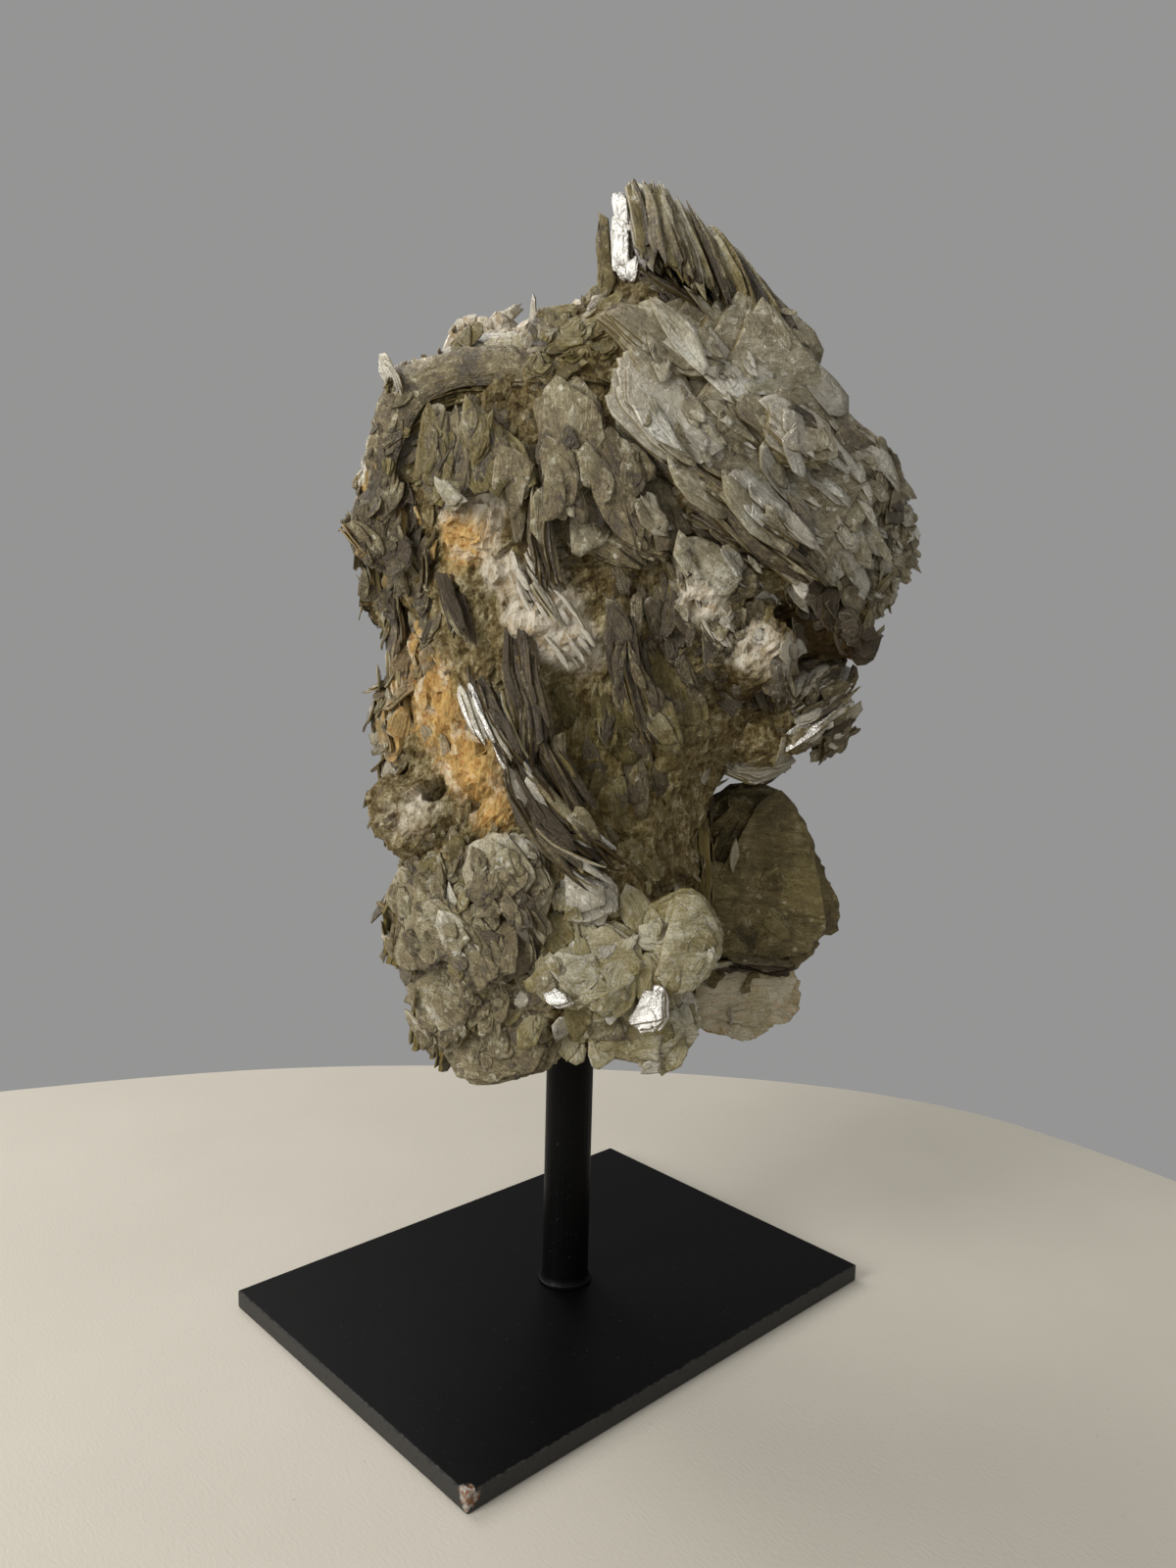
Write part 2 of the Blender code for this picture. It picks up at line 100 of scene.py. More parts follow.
# tone runs from dark olive-brown 0 to pale silver 1; the rest are shares of other finishes
Look = namedtuple("Look", "tone stain white dark green glint")
LOOKS = {
    "silver": Look(0.77, 0.0, 0.15, 0.0, 0.0, 0.35),
    "grey": Look(0.66, 0.0, 0.05, 0.0, 0.0, 0.1),
    "taupe": Look(0.48, 0.05, 0.05, 0.05, 0.05, 0.05),
    "brown": Look(0.26, 0.1, 0.0, 0.22, 0.05, 0.05),
    "dark": Look(0.0, 0.0, 0.0, 0.85, 0.0, 0.05),
    "umber": Look(0.12, 0.1, 0.0, 0.5, 0.0, 0.05),
    "olive": Look(0.34, 0.05, 0.0, 0.1, 0.4, 0.0),
    "smoky": Look(0.20, 0.0, 0.0, 0.25, 0.22, 0.0),
    "pale": Look(0.76, 0.0, 0.15, 0.0, 0.42, 0.0),
    "straw": Look(0.76, 0.1, 0.05, 0.0, 0.5, 0.0),
    "orange": Look(0.5, 0.8, 0.1, 0.05, 0.0, 0.0),
    "rust": Look(0.36, 0.9, 0.0, 0.15, 0.0, 0.0),
    "cream": Look(0.7, 0.3, 0.6, 0.0, 0.1, 0.0),
    "white": Look(0.8, 0.0, 0.9, 0.0, 0.0, 0.0),
    "pink": Look(0.7, 0.1, 0.55, 0.05, 0.0, 0.0),
    "lit": Look(0.88, 0.6, 0.0, 0.0, 0.35, 0.0),
    "mirror": Look(0.9, 0.0, 0.1, 0.0, 0.0, 1.0),
}

# Broad plates: the outline as seen from the front (across, height), and the depth of its middle.
# turn is the side that the plate faces, 0 to the front and 90 to the right. lift is how far up.
Plate = namedtuple("Plate", "name outline depth turn lift thick sheets look")
PLATES = (
    Plate("head", ((8, 254), (8, 232), (23, 219), (38, 207), (49, 198), (64, 191), (75, 195), (84, 201),
        (82, 213), (72, 224), (60, 234), (52, 243), (40, 258), (24, 262)), -31, 20, 5, 18, 16, "grey"),
    Plate("paddle", ((41, 142), (52, 144), (60, 139), (66, 130), (74, 112), (70, 101), (59, 94), (36, 94),
        (30, 112), (31, 131)), 2, 6, 4, 11, 9, "smoky"),
    Plate("paddle_foot", ((26, 98), (60, 94), (62, 87), (56, 81), (49, 76), (41, 76), (30, 84)), -6, 4,
        10, 9, 7, "lit"),
    Plate("foot_front", ((4, 96), (20, 99), (35, 95), (36, 87), (29, 75), (19, 78), (8, 82)), -29, 8, 6,
        11, 9, "pale"),
    Plate("foot_left", ((-12, 106), (-4, 119), (6, 116), (15, 112), (20, 102), (18, 93), (6, 92)), -34,
        -4, 10, 7, 7, "pale"),
    Plate("foot_right", ((15, 116), (27, 121), (33, 121), (39, 113), (37, 102), (27, 95), (20, 99)), -33,
        12, 6, 7, 7, "straw"),
    Plate("left_foot", ((-32, 94), (-20, 98), (4, 94), (5, 81), (-6, 73), (-17, 69), (-26, 69),
        (-31, 76)), -21, -14, 4, 14, 10, "taupe"),
)

# Books of mica. grain is the direction of the long side as seen from the front: 0 to the right, 90 up.
# fan spreads the sheets of a book about its root, in degrees over the whole stack.
# bend is how far a sheet's ends stand out, in millimetres.
Book = namedtuple("Book", "name centre turn lift grain length width thick sheets bend fan look")
BOOKS = (
    # the lone spike and the bright plates at the left of the crest
    Book("spike", (8, -14, 269), -20, 8, 102, 32, 5, 3, 3, 0, 3, "olive"),
    Book("spike_back", (12, -9, 268), -50, 4, 98, 26, 12, 3, 4, 0, 4, "brown"),
    Book("silver_plate", (10, -20, 273), -27, -2, 98, 16, 5, 3, 4, 0, 2, "mirror"),
    Book("silver_chip", (9, -21, 279), -27, -2, 112, 9, 4, 2, 3, 0, 2, "mirror"),
    Book("silver_shard", (13, -22, 267), -27, 0, 80, 8, 3, 2, 3, 0, 2, "mirror"),
    Book("little_leaf", (6, -10, 261), -20, 10, 90, 13, 9, 3, 4, 0, 2, "olive"),
    # shingles of the head, from the crest's foot down to the nose
    Book("brow_leaf", (19, -42, 247), 14, 10, -26, 27, 13, 4, 6, 0, 4, "grey"),
    Book("cheek_leaf", (23, -42, 229), 16, 8, -42, 34, 13, 4, 6, 0, 3, "silver"),
    Book("jaw_leaf", (41, -36, 213), 18, 6, -44, 36, 13, 4, 6, 0, 3, "grey"),
    Book("middle_shingle", (36, -36, 238), 18, 8, -48, 34, 11, 4, 5, 0, 3, "silver"),
    Book("star_flake", (50, -38, 229), 14, 16, -30, 19, 13, 5, 5, 0, 8, "pink"),
    Book("blue_leaf", (61, -29, 204), 22, 2, -46, 26, 15, 4, 6, 0, 3, "silver"),
    Book("nose", (78, -15, 206), 30, -6, -30, 19, 15, 7, 8, 0, 8, "grey"),
    Book("nose_low", (74, -17, 194), 28, -16, -20, 16, 10, 6, 7, 0, 8, "taupe"),
    # leaves of the middle, between the hood and the head
    Book("middle_leaf", (-1, -39, 225), -6, 10, 104, 27, 17, 6, 7, 0, 3, "taupe"),
    Book("tongue", (11, -41, 213), 4, 8, 118, 32, 12, 6, 7, 0, 4, "brown"),
    Book("bar", (-16, -38, 221), -8, 12, 122, 24, 10, 6, 6, 0, 4, "olive"),
    Book("brown_leaf", (-28, -35, 222), -14, 14, 108, 21, 15, 7, 7, 0, 5, "brown"),
    Book("low_leaf", (7, -39, 204), 0, 2, 148, 26, 12, 6, 7, 0, 5, "brown"),
    Book("under_nose_leaf", (30, -39, 198), 8, 4, 150, 16, 12, 4, 5, 0, 4, "grey"),
    # the hood: bent sheets that fold over the upper left
    Book("hood_olive", (1, -22, 248), 4, 26, 10, 26, 15, 5, 6, 1, 5, "olive"),
    Book("hood_top", (-14, -25, 247), -8, 36, 4, 34, 13, 3, 5, 1, 3, "olive"),
    Book("hood_shoulder", (-34, -20, 240), -34, 30, 34, 30, 14, 3, 5, 1, 3, "olive"),
    Book("hood_fall", (-45, -15, 222), -50, 16, 70, 28, 15, 4, 5, 1, 4, "olive"),
    Book("knob", (-45, -19, 207), -42, 8, 74, 22, 14, 6, 7, -2, 5, "rust"),
    Book("hood_side", (-47, -12, 215), -60, 12, 66, 26, 24, 8, 9, -2, 6, "umber"),
    # knobs and stained leaves down the left side
    Book("left_blade_high", (-45, -10, 187), -66, -4, 100, 34, 16, 6, 7, 0, 6, "umber"),
    Book("left_blade_low", (-45, -13, 160), -62, 4, 84, 24, 15, 6, 7, 0, 6, "rust"),
    # to the right of the middle
    Book("pillar", (24, -34, 170), 10, 2, 100, 28, 14, 6, 7, 0, 5, "olive"),
    # the hanging plates right of the neck
    Book("tip", (66, -13, 161), 22, -8, -82, 17, 9, 5, 5, 0, 4, "brown"),
    Book("low_sparkle", (48, -16, 154), 12, 22, 20, 20, 12, 7, 8, 0, 9, "silver"),
    # lower left: upright shingles
    Book("leg_high", (-13, -35, 125), -10, 10, 110, 22, 16, 6, 7, 0, 5, "grey"),
    Book("leg_left", (-34, -25, 116), -26, 6, 104, 28, 18, 7, 7, 0, 5, "taupe"),
    Book("leg_middle", (-22, -31, 110), -16, 6, 118, 24, 17, 6, 6, 0, 5, "brown"),
    Book("leg_low", (-30, -22, 92), -26, -4, 104, 28, 17, 8, 8, 1, 5, "taupe"),
    Book("pale_leaf", (4, -34, 121), -2, 14, 150, 15, 11, 5, 5, 0, 4, "silver"),
    Book("glint_leaf", (21, -39, 95), -28, 24, 100, 11, 10, 3, 4, 0, 3, "mirror"),
    Book("glint_leaf_left", (-1, -38, 98), -28, 23, 160, 8, 4, 3, 4, 0, 3, "mirror"),
    # the right side and the top, round the corner from the front
    Book("side_nose", (66, 6, 208), 84, 6, 70, 28, 20, 8, 9, 0, 5, "grey"),
    Book("side_brow", (52, 3, 235), 74, 34, 100, 28, 22, 8, 9, 0, 5, "grey"),
    Book("side_jaw", (62, 6, 184), 82, -22, 110, 30, 24, 8, 9, 0, 5, "brown"),
    Book("side_neck", (42, 6, 158), 78, -34, 84, 26, 24, 8, 9, 0, 5, "taupe"),
    Book("side_low", (35, -8, 122), 84, 0, 96, 30, 20, 8, 8, 0, 5, "olive"),
    Book("crown", (38, -4, 259), 70, 50, 110, 24, 16, 7, 8, 0, 6, "grey"),
    Book("crown_back", (20, 10, 260), 172, 54, 80, 30, 26, 8, 9, 0, 5, "taupe"),
)

# Sheets on edge: the path that their visible edges follow, the way inwards, how deep they reach,
# how many there are, and how wide the bundle is from its start to its end
Sweep = namedtuple("Sweep", "name path inward reach sheets spread looks")
SWEEPS = (
    Sweep("hood_band", ((-48, -17, 204), (-49, -19, 222), (-43, -22, 238), (-31, -25, 246),
        (-15, -28, 247), (0, -31, 243), (12, -37, 239)), (0.6, -0.2, -0.7), 13, 9, (6, 7, 7, 5, 4),
        ("smoky", "brown", "smoky", "umber", "olive")),
    Sweep("hood_top_band", ((-40, -12, 240), (-30, -17, 248), (-16, -20, 251), (0, -24, 250)),
        (0.4, -0.5, -0.6), 11, 6, (5, 6, 5), ("olive", "brown", "smoky", "olive")),
    Sweep("knob_band", ((-47, -18, 222), (-51, -18, 210), (-49, -20, 200), (-42, -23, 194)),
        (0.8, -0.35, 0.2), 12, 7, (6, 7, 6), ("brown", "umber", "rust", "brown")),
    Sweep("hood_inner", ((-44, -24, 224), (-37, -28, 233), (-25, -31, 237), (-12, -33, 236),
        (0, -35, 237), (12, -38, 234)), (0.05, 1, 0.25), 20, 6, (4, 7, 7, 6, 3), ("umber", "olive",
        "smoky", "brown", "olive")),
    Sweep("knob_fold", ((-52, -19, 214), (-51, -22, 205), (-44, -24, 200), (-37, -25, 201)),
        (0.2, 1, 0.15), 14, 8, (7, 6, 5), ("brown", "umber", "orange", "taupe")),
    Sweep("knob_back", ((-33, -30, 199), (-29, -31, 208), (-31, -31, 218), (-38, -29, 227)), (0.1, 1, 0),
        12, 7, (6, 6, 5), ("brown", "umber", "taupe")),
    Sweep("head_edge", ((6, -34, 231), (18, -38, 224), (25, -40, 218), (35, -42, 210), (45, -43, 203),
        (52, -42, 197)), (0.45, 0.75, 0.5), 14, 11, (5, 8, 8, 5), ("dark", "brown", "umber", "taupe")),
    Sweep("low_edge", ((18, -37, 218), (25, -38, 208), (36, -40, 202), (46, -41, 197)), (0.4, 0.8, 0.4),
        10, 6, (4, 5, 4), ("dark", "umber", "brown")),
    Sweep("silver_ridges", ((54, -20, 160), (60, -22, 170), (70, -17, 179)), (-0.3, 1, 0.5), 14, 10,
        (10, 14, 9), ("silver", "silver", "brown", "mirror")),
    Sweep("paddle_crack", ((39, -8, 97), (51, -9, 96), (63, -7, 95)), (0, 1, 0.1), 10, 4, (2, 3, 2),
        ("dark", "brown")),
)
SWEEP_ACROSS, SWEEP_DEEP, SWEEP_THICK = 22, 4, (0.3, 0.85)

CREST_BLADES, CREST_WIDTH = 400, (1.6, 5.0)
CREST_LOOKS = {"brown": 0.27, "taupe": 0.2, "olive": 0.23, "pale": 0.2, "umber": 0.1}

# Feldspar and quartz between the books
Lump = namedtuple("Lump", "name centre radii")
LUMPS = (
    Lump("top_left", (-22, 1, 249), (13, 14, 11)),
    Lump("top_middle", (-7, 4, 250), (12, 13, 10)),
    Lump("top_right", (5, 2, 252), (9, 10, 9)),
    Lump("left_bump", (-48, 5, 192), (7, 9, 11)),
    Lump("pale_slab", (-37, -20, 138), (13, 11, 11)),
    Lump("white_middle", (-5, -30, 185), (13, 9, 13)),
    Lump("cream_high", (-23, -29, 208), (9, 9, 10)),
    Lump("right_high", (29, -31, 192), (11, 9, 12)),
    Lump("right_low", (43, -28, 180), (12, 9, 12)),
    Lump("dark_crystal", (62, -19, 187), (12, 10, 8)),
    Lump("right_under", (47, -18, 160), (13, 9, 9)),
    Lump("underside", (0, -6, 86), (26, 20, 10)),
)

# Dark holes in the matrix: middle of the mouth, its radius, and how deep it goes
Pit = namedtuple("Pit", "centre radius deep")
PITS = (
    Pit((50, -31, 186), 3.4, 15),
    Pit((-33, -28, 144), 2.5, 5),
)

# Places kept clear of flakes: middle and radius
BARE = (
    ((-23, -34, 208), 7), ((-5, -37, 187), 9), ((3, -36, 177), 7), ((30, -38, 190), 5),
    ((44, -34, 178), 5), ((21, -40, 95), 7), ((-1, -38, 98), 5), ((-38, -30, 138), 7),
    ((-34, -30, 164), 6), ((-25, -34, 152), 6),
)

# Where the matrix and what lies on it change colour: soft balls, as (x, y, z, radius, strength)
TINTS = {
    "white": ((-22, -4, 256, 20, 0.95), (-4, -4, 257, 15, 0.9), (8, -6, 258, 9, 0.7),
        (-50, 5, 192, 10, 0.7), (-37, -28, 138, 12, 0.5), (-6, -36, 187, 13, 0.95), (2, -36, 178, 9, 0.9),
        (-16, -34, 196, 8, 0.7), (-23, -36, 209, 11, 1.0), (29, -38, 192, 10, 0.8),
        (40, -36, 181, 10, 0.7), (50, -34, 178, 8, 0.8), (30, -36, 160, 6, 0.5), (34, 30, 196, 17, 0.7),
        (-20, 30, 130, 16, 0.6)),
    "stain": ((-25, -36, 203, 11, 1.0), (-32, -32, 196, 9, 0.6), (-42, -20, 176, 14, 0.9),
        (-36, -28, 166, 18, 1.0), (-26, -34, 152, 15, 1.0), (-18, -35, 140, 12, 0.9),
        (-48, -16, 208, 18, 0.55), (-42, -14, 108, 11, 0.7), (-32, -24, 112, 8, 0.3),
        (-30, 24, 200, 22, 0.5), (20, 34, 150, 20, 0.35)),
    # dark: mostly the mineral's own dark brown; the full-strength balls at the two pits, (50, -30, 186) and
    # (-33, -33, 143), are painted shade that makes the holes read black
    "dark": ((-48, -18, 208, 17, 0.65), (44, -24, 118, 20, 0.35), (50, -30, 186, 9, 1.0),
        (63, -26, 186, 16, 1.0), (26, -34, 258, 12, 0.6), (22, -36, 214, 14, 0.5), (-33, -33, 143, 4, 1.0),
        (-34, -24, 244, 16, 0.4), (38, -34, 170, 9, 0.8), (56, -30, 177, 6, 0.8), (22, -38, 184, 7, 0.7),
        (10, -34, 156, 22, 0.38), (20, -34, 138, 14, 0.38), (-16, -33, 230, 12, 0.5),
        (6, -40, 224, 8, 0.6), (16, -38, 212, 10, 0.6), (28, -38, 204, 8, 0.5), (-11, -38, 204, 6, 0.7),
        (12, -36, 192, 10, 0.6), (20, -36, 172, 12, 0.5), (46, -30, 168, 10, 0.6), (-2, -36, 148, 10, 0.5),
        (-44, -18, 190, 9, 0.5), (-26, -34, 176, 8, 0.5)),
    "green": ((68, -4, 116, 12, 0.9), (10, -34, 150, 24, 0.4)),
}

# Coats of small flakes. The last fields are looks by chance, most likely first.
Coat = namedtuple("Coat", "name centre radii count length width turn lift grain spread tilt follow thin "
                          "looks")
COATS = (
    Coat("head_shingles", (46, -32, 224), (40, 24, 36), 90, (10, 26), (0.26, 0.46), 20, 7, -43, 6,
        (0.3, 2.0), 0.15, 0.5, ("grey", "silver", "grey", "taupe", "silver")),
    Coat("head_scales", (50, -30, 222), (38, 26, 36), 180, (3, 11), (0.28, 0.5), 20, 7, -43, 10, (0.5, 3),
        0.25, 0.45, ("grey", "taupe", "silver", "grey", "pink")),
    Coat("nose_crumbs", (77, -12, 207), (12, 22, 20), 240, (3, 9), (0.4, 0.8), 34, 0, -40, 35, (3, 24),
        0.5, 0.8, ("grey", "taupe", "silver", "brown")),
    Coat("middle_leaves", (2, -38, 216), (20, 14, 24), 32, (9, 22), (0.35, 0.6), -2, 8, 106, 12, (0.5, 4),
        0.4, 0.6, ("taupe", "brown", "grey", "umber", "olive")),
    Coat("olive_leaves", (-2, -24, 248), (15, 16, 11), 70, (5, 13), (0.4, 0.7), -6, 26, 40, 40, (4, 24),
        0.4, 1.0, ("olive", "brown", "smoky", "umber")),
    Coat("under_hood", (-26, -32, 218), (15, 12, 17), 56, (7, 19), (0.35, 0.6), -18, 12, 108, 16, (1, 8),
        0.45, 0.7, ("olive", "brown", "umber", "grey")),
    Coat("hood_scales", (-44, -18, 228), (9, 18, 14), 50, (4, 10), (0.4, 0.7), -40, 20, 60, 26, (3, 16),
        0.5, 0.8, ("brown", "olive", "umber")),
    Coat("left_scales", (-42, -18, 196), (14, 20, 22), 100, (5, 15), (0.4, 0.7), -40, 4, 84, 20, (1, 7),
        0.75, 0.6, ("umber", "brown", "rust", "dark", "brown")),
    Coat("knob_scales", (-46, -18, 208), (10, 14, 15), 50, (4, 12), (0.5, 0.8), -44, 6, 84, 20, (0.5, 4),
        0.85, 0.5, ("brown", "umber", "rust", "brown")),
    Coat("dark_crystal_scales", (62, -28, 187), (12, 9, 9), 30, (6, 13), (0.5, 0.9), 20, 0, -14, 40,
        (2, 10), 0.8, 1.2, ("dark", "umber", "dark", "brown")),
    Coat("orange_scales", (-36, -24, 158), (16, 18, 24), 26, (5, 13), (0.35, 0.7), -28, 2, 92, 34, (1, 5),
        0.9, 0.4, ("brown", "orange", "orange", "rust")),
    Coat("belly_scales", (12, -34, 152), (22, 10, 26), 34, (8, 24), (0.4, 0.65), -2, 3, 98, 18,
        (0.3, 2.4), 0.8, 0.4, ("smoky", "umber", "brown", "olive")),
    Coat("ridge_scales", (20, -36, 180), (14, 12, 22), 60, (6, 18), (0.22, 0.4), 8, 2, 112, 12, (1, 9),
        0.5, 0.6, ("umber", "brown", "olive", "dark")),
    Coat("right_scales", (42, -34, 182), (18, 14, 18), 90, (4, 10), (0.4, 0.8), 14, 2, 120, 50, (3, 22),
        0.6, 0.8, ("brown", "taupe", "umber", "silver", "cream")),
    Coat("hanging_scales", (62, -10, 163), (15, 20, 16), 100, (4, 11), (0.3, 0.6), 26, -6, 42, 28,
        (5, 26), 0.5, 0.9, ("brown", "silver", "taupe", "silver", "dark")),
    Coat("lower_left", (-22, -26, 104), (24, 18, 34), 190, (6, 18), (0.45, 0.8), -18, 6, 108, 30, (2, 13),
        0.4, 0.8, ("taupe", "brown", "grey", "olive", "silver", "umber")),
    Coat("lower_left_scales", (-22, -26, 104), (24, 18, 34), 220, (2.5, 8), (0.45, 0.8), -18, 4, 100, 40,
        (3, 20), 0.5, 0.8, ("taupe", "brown", "grey", "pale", "umber")),
    Coat("feet", (14, -32, 98), (28, 14, 28), 110, (5, 18), (0.5, 0.9), 2, 8, 96, 34, (0.5, 4.5), 0.5,
        0.5, ("straw", "pale", "olive", "taupe", "silver")),
    Coat("paddle_scales", (52, -4, 112), (22, 12, 26), 10, (9, 18), (0.5, 0.8), 6, 4, 80, 60, (0.3, 1.2),
        0.0, 0.4, ("smoky", "olive")),
)
# No coat grows above this line across the front, given as (across, height): the crest stands there
CREST_LINE = ((2, 262), (40, 250))

# Long blades lying along a path: facing is the side that they turn their faces to, spread the
# sheaf's breadth along the path, fan how much they splay, roll how far they turn about their length.
Sheaf = namedtuple("Sheaf", "name path facing spread count length width deep fan roll bend looks")
SHEAVES = (
    Sheaf("bundle_left", ((-23, -38, 175), (-19, -40, 166), (-14, -42, 155), (-10, -43, 147)),
        (-0.5, -1, 0.2), (2, 5, 6, 6), 44, (12, 24), (1.2, 3.2), 5, 0.6, 35, 1.5, ("mirror", "dark",
        "umber", "dark", "dark", "silver", "umber")),
    Sheaf("bundle_glint", ((-25, -39, 173), (-21, -42, 163), (-17, -44, 154)), (-0.37, -0.89, 0.27),
        (2, 4, 4), 9, (9, 19), (1.2, 2.6), 2, 0.5, 12, 1.0, ("mirror", "silver", "mirror")),
    Sheaf("bundle_high", ((-12, -38, 188), (-11, -41, 176), (-9, -42, 163), (-8, -43, 150)),
        (-0.2, -1, 0), (4, 7, 7, 6), 64, (16, 32), (1.0, 2.6), 5, 0.4, 40, 1.0, ("dark", "umber", "dark",
        "brown", "dark", "umber", "taupe")),
    Sheaf("bundle_low", ((-13, -42, 155), (-9, -43, 146), (-3, -43, 137), (5, -42, 131), (14, -39, 126)),
        (-0.3, -1, 0.2), (6, 8, 9, 9, 11), 90, (12, 26), (1.2, 3.4), 6, 0.8, 40, 2.0, ("dark", "umber",
        "dark", "brown", "dark", "umber", "silver", "mirror")),
    Sheaf("bundle_right", ((-6, -42, 157), (0, -42, 148), (6, -41, 139)), (0.2, -1, 0), (3, 5, 5), 26,
        (12, 22), (1.5, 3.5), 4, 1, 30, 1.0, ("dark", "umber", "brown", "dark")),
    Sheaf("needle_high", ((-7, -41, 216), (-6, -42, 204), (-3, -41, 192)), (0, -1, 0), (3, 5, 5), 26,
        (12, 24), (0.9, 2.2), 3, 0.5, 40, 0.5, ("dark", "umber", "taupe", "brown")),
    Sheaf("ridge_right", ((12, -40, 192), (14, -41, 178), (18, -40, 166), (24, -38, 156)), (0.2, -1, 0),
        (5, 8, 7, 5), 56, (12, 26), (1.4, 3.6), 5, 1, 30, 1.0, ("umber", "brown", "dark", "umber",
        "taupe")),
    Sheaf("crest_shadow", ((13, -31, 267), (22, -32, 262), (32, -31, 254), (40, -29, 248)),
        (0.2, -1, 0.3), (5, 6, 5, 4), 50, (8, 18), (1.0, 2.6), 5, 1, 40, 0.5, ("dark", "umber", "brown",
        "dark")),
    Sheaf("head_shadow", ((8, -37, 232), (20, -40, 222), (32, -42, 211), (46, -43, 200), (54, -42, 194)),
        (-0.3, -1, -0.3), (5, 7, 7, 5, 4), 80, (12, 30), (1.2, 3.4), 5, 0.6, 30, 1.0, ("dark", "umber",
        "brown", "taupe")),
    Sheaf("neck", ((46, -33, 184), (48, -32, 174), (50, -28, 164)), (0.2, -1, 0), (6, 8, 6), 36, (8, 20),
        (1.4, 3.6), 5, 1, 40, 0.5, ("dark", "brown", "umber", "silver")),
    Sheaf("silver_folds", ((46, -24, 157), (56, -23, 166), (67, -19, 177)), (-0.51, -0.83, 0.22),
        (9, 13, 8), 70, (8, 17), (1.2, 3.2), 4, 1, 24, 0.6, ("mirror", "silver", "brown", "silver",
        "mirror")),
    Sheaf("white_needles", ((-12, -37, 202), (-8, -39, 194), (-2, -39, 184), (4, -38, 174)),
        (-0.1, -1, 0.1), (5, 8, 9, 7), 46, (5, 12), (0.6, 1.8), 3, 1, 40, 0.5, ("white", "white",
        "cream")),
    Sheaf("white_right", ((26, -38, 200), (31, -38, 190), (38, -37, 180)), (0.1, -1, 0.1), (8, 10, 8), 50,
        (6, 14), (1.0, 3.0), 4, 1, 45, 0.5, ("white", "cream", "white", "taupe")),
    Sheaf("left_ribs", ((-32, -32, 196), (-29, -34, 188), (-25, -36, 178)), (-0.5, -1, 0), (3, 5, 3), 14,
        (8, 16), (1.5, 3.5), 4, 1, 40, 0.5, ("dark", "umber", "brown", "taupe")),
)
PATH_POINTS = 60

# Blocky grains of feldspar: middle, radii, how many, their size and the side that they face
Grains = namedtuple("Grains", "centre radii count size turn lift look")
GRAINS = (
    Grains((-14, -8, 254), (24, 14, 10), 150, (1.5, 7), -10, 40, "cream"),
    Grains((30, 30, 196), (20, 14, 20), 60, (2, 6), 160, 6, "cream"),
    Grains((-18, 30, 128), (18, 14, 18), 50, (2, 6), 200, 6, "cream"),
)

BACK_COAT_COUNT = 1500
BACK_LOOKS = ("taupe", "grey", "brown", "silver", "olive", "umber")

# The back carries rows of overlapping books: heights of the rows, and the sides that the books face
BACK_ROWS = (92, 115, 139, 163, 187, 211, 234)
BACK_TURNS = (100, 132, 164, 196, 228, 256)
BACK_BOOK = Book("back", (0, 0, 0), 0, 0, 90, 35, 25, 8, 7, 0.4, 5, "taupe")

BOOK_SWELL = 1.1  # broken outlines fall short of their box by this
BOOK_TAPER = (0.05, 0.3)
SUNK = 0.8  # share of a book that lies behind its middle, as in the solids
BREAKS, BREAK_DEPTH = 4, 0.6
TOP_SHARE = 0.94  # how much of the lowest sheet's outline the top one covers
HIGH_FROM, BOOK_TINT = 195, 0.6

# Broken outlines: how many corners, how far they jut, how torn the ends are, how much one end
# tapers, and how boxy the whole is (2 is round)
Shard = namedtuple("Shard", "corners jut fray taper power")
BOOK_SHARD = Shard(9, 0.14, 0.05, 0.0, 2.8)
CREST_SHARD = Shard(9, 0.14, 0.14, 0.25, 3.0)
BLADE_SHARD = Shard(9, 0.12, 0.1, 0.1, 2.4)
FLAKE_SHARD = Shard(6, 0.3, 0.1, 0.15, 4.0)
GRAIN_SHARD = Shard(6, 0.18, 0.06, 0.1, 3.5)
BOOK_POINTS, PLATE_POINTS, CREST_POINTS, BLADE_POINTS, FLAKE_POINTS = 34, 84, 16, 14, 10

# Rings of a sheet's top and underside from the rim to the middle: share of the outline, and of
# the thickness. The rims say how near to the rim a ring counts.
TOP_RINGS, UNDER_RINGS = ((1.0, 0.85), (0.97, 1.0), (0.5, 1.0)), ((1.0, 0.0), (0.5, 0.0))
FLAKE_RINGS = (((1.0, 1.0), (0.75, 1.0)), ((1.0, 0.0),))
GRAIN_RINGS = (((1.0, 0.72), (0.78, 1.0)), ((1.0, 0.0),))
TOP_RIMS, UNDER_RIMS = (1.0, 0.4, 0.0), (1.0, 1.0)

WARPS = ((40, 0.9), (15, 0.5), (6, 0.2))  # mm from wave to wave, and mm of movement
WARP_WAVES = 10

MATRIX_VOXEL = 1.35
MATRIX_LOOK = LOOKS["taupe"]._replace(white=0.1)
MATRIX_WAVES = ((11, 1.6), (4, 0.4), (1.6, 0.12))  # mm from wave to wave, and mm of movement
MATRIX_CELLS = ((7.0, 0.5), (3.0, 0.6))  # mm across a broken facet, and how far it tilts
LUMP_SWELL = 0.16

LOWEST = 73  # flakes near this height are short, so that they do not hang below the specimen
FLAKE_LAYERS = (0.5, 0.33, 0.17)  # chance of a flake of one, two and three sheets
RAY_START, RAY_REACH = 70, 260

# One or many sheets as arrays. look holds the KINDS point by point, edge the nearness to the rim
# and a chance that is the same all over a sheet.
Batch = namedtuple("Batch", "points triangles slots smooth grain look edge")
KINDS = ("tone", "stain", "white", "dark", "green", "glint")
FACE, EDGE = 0, 1

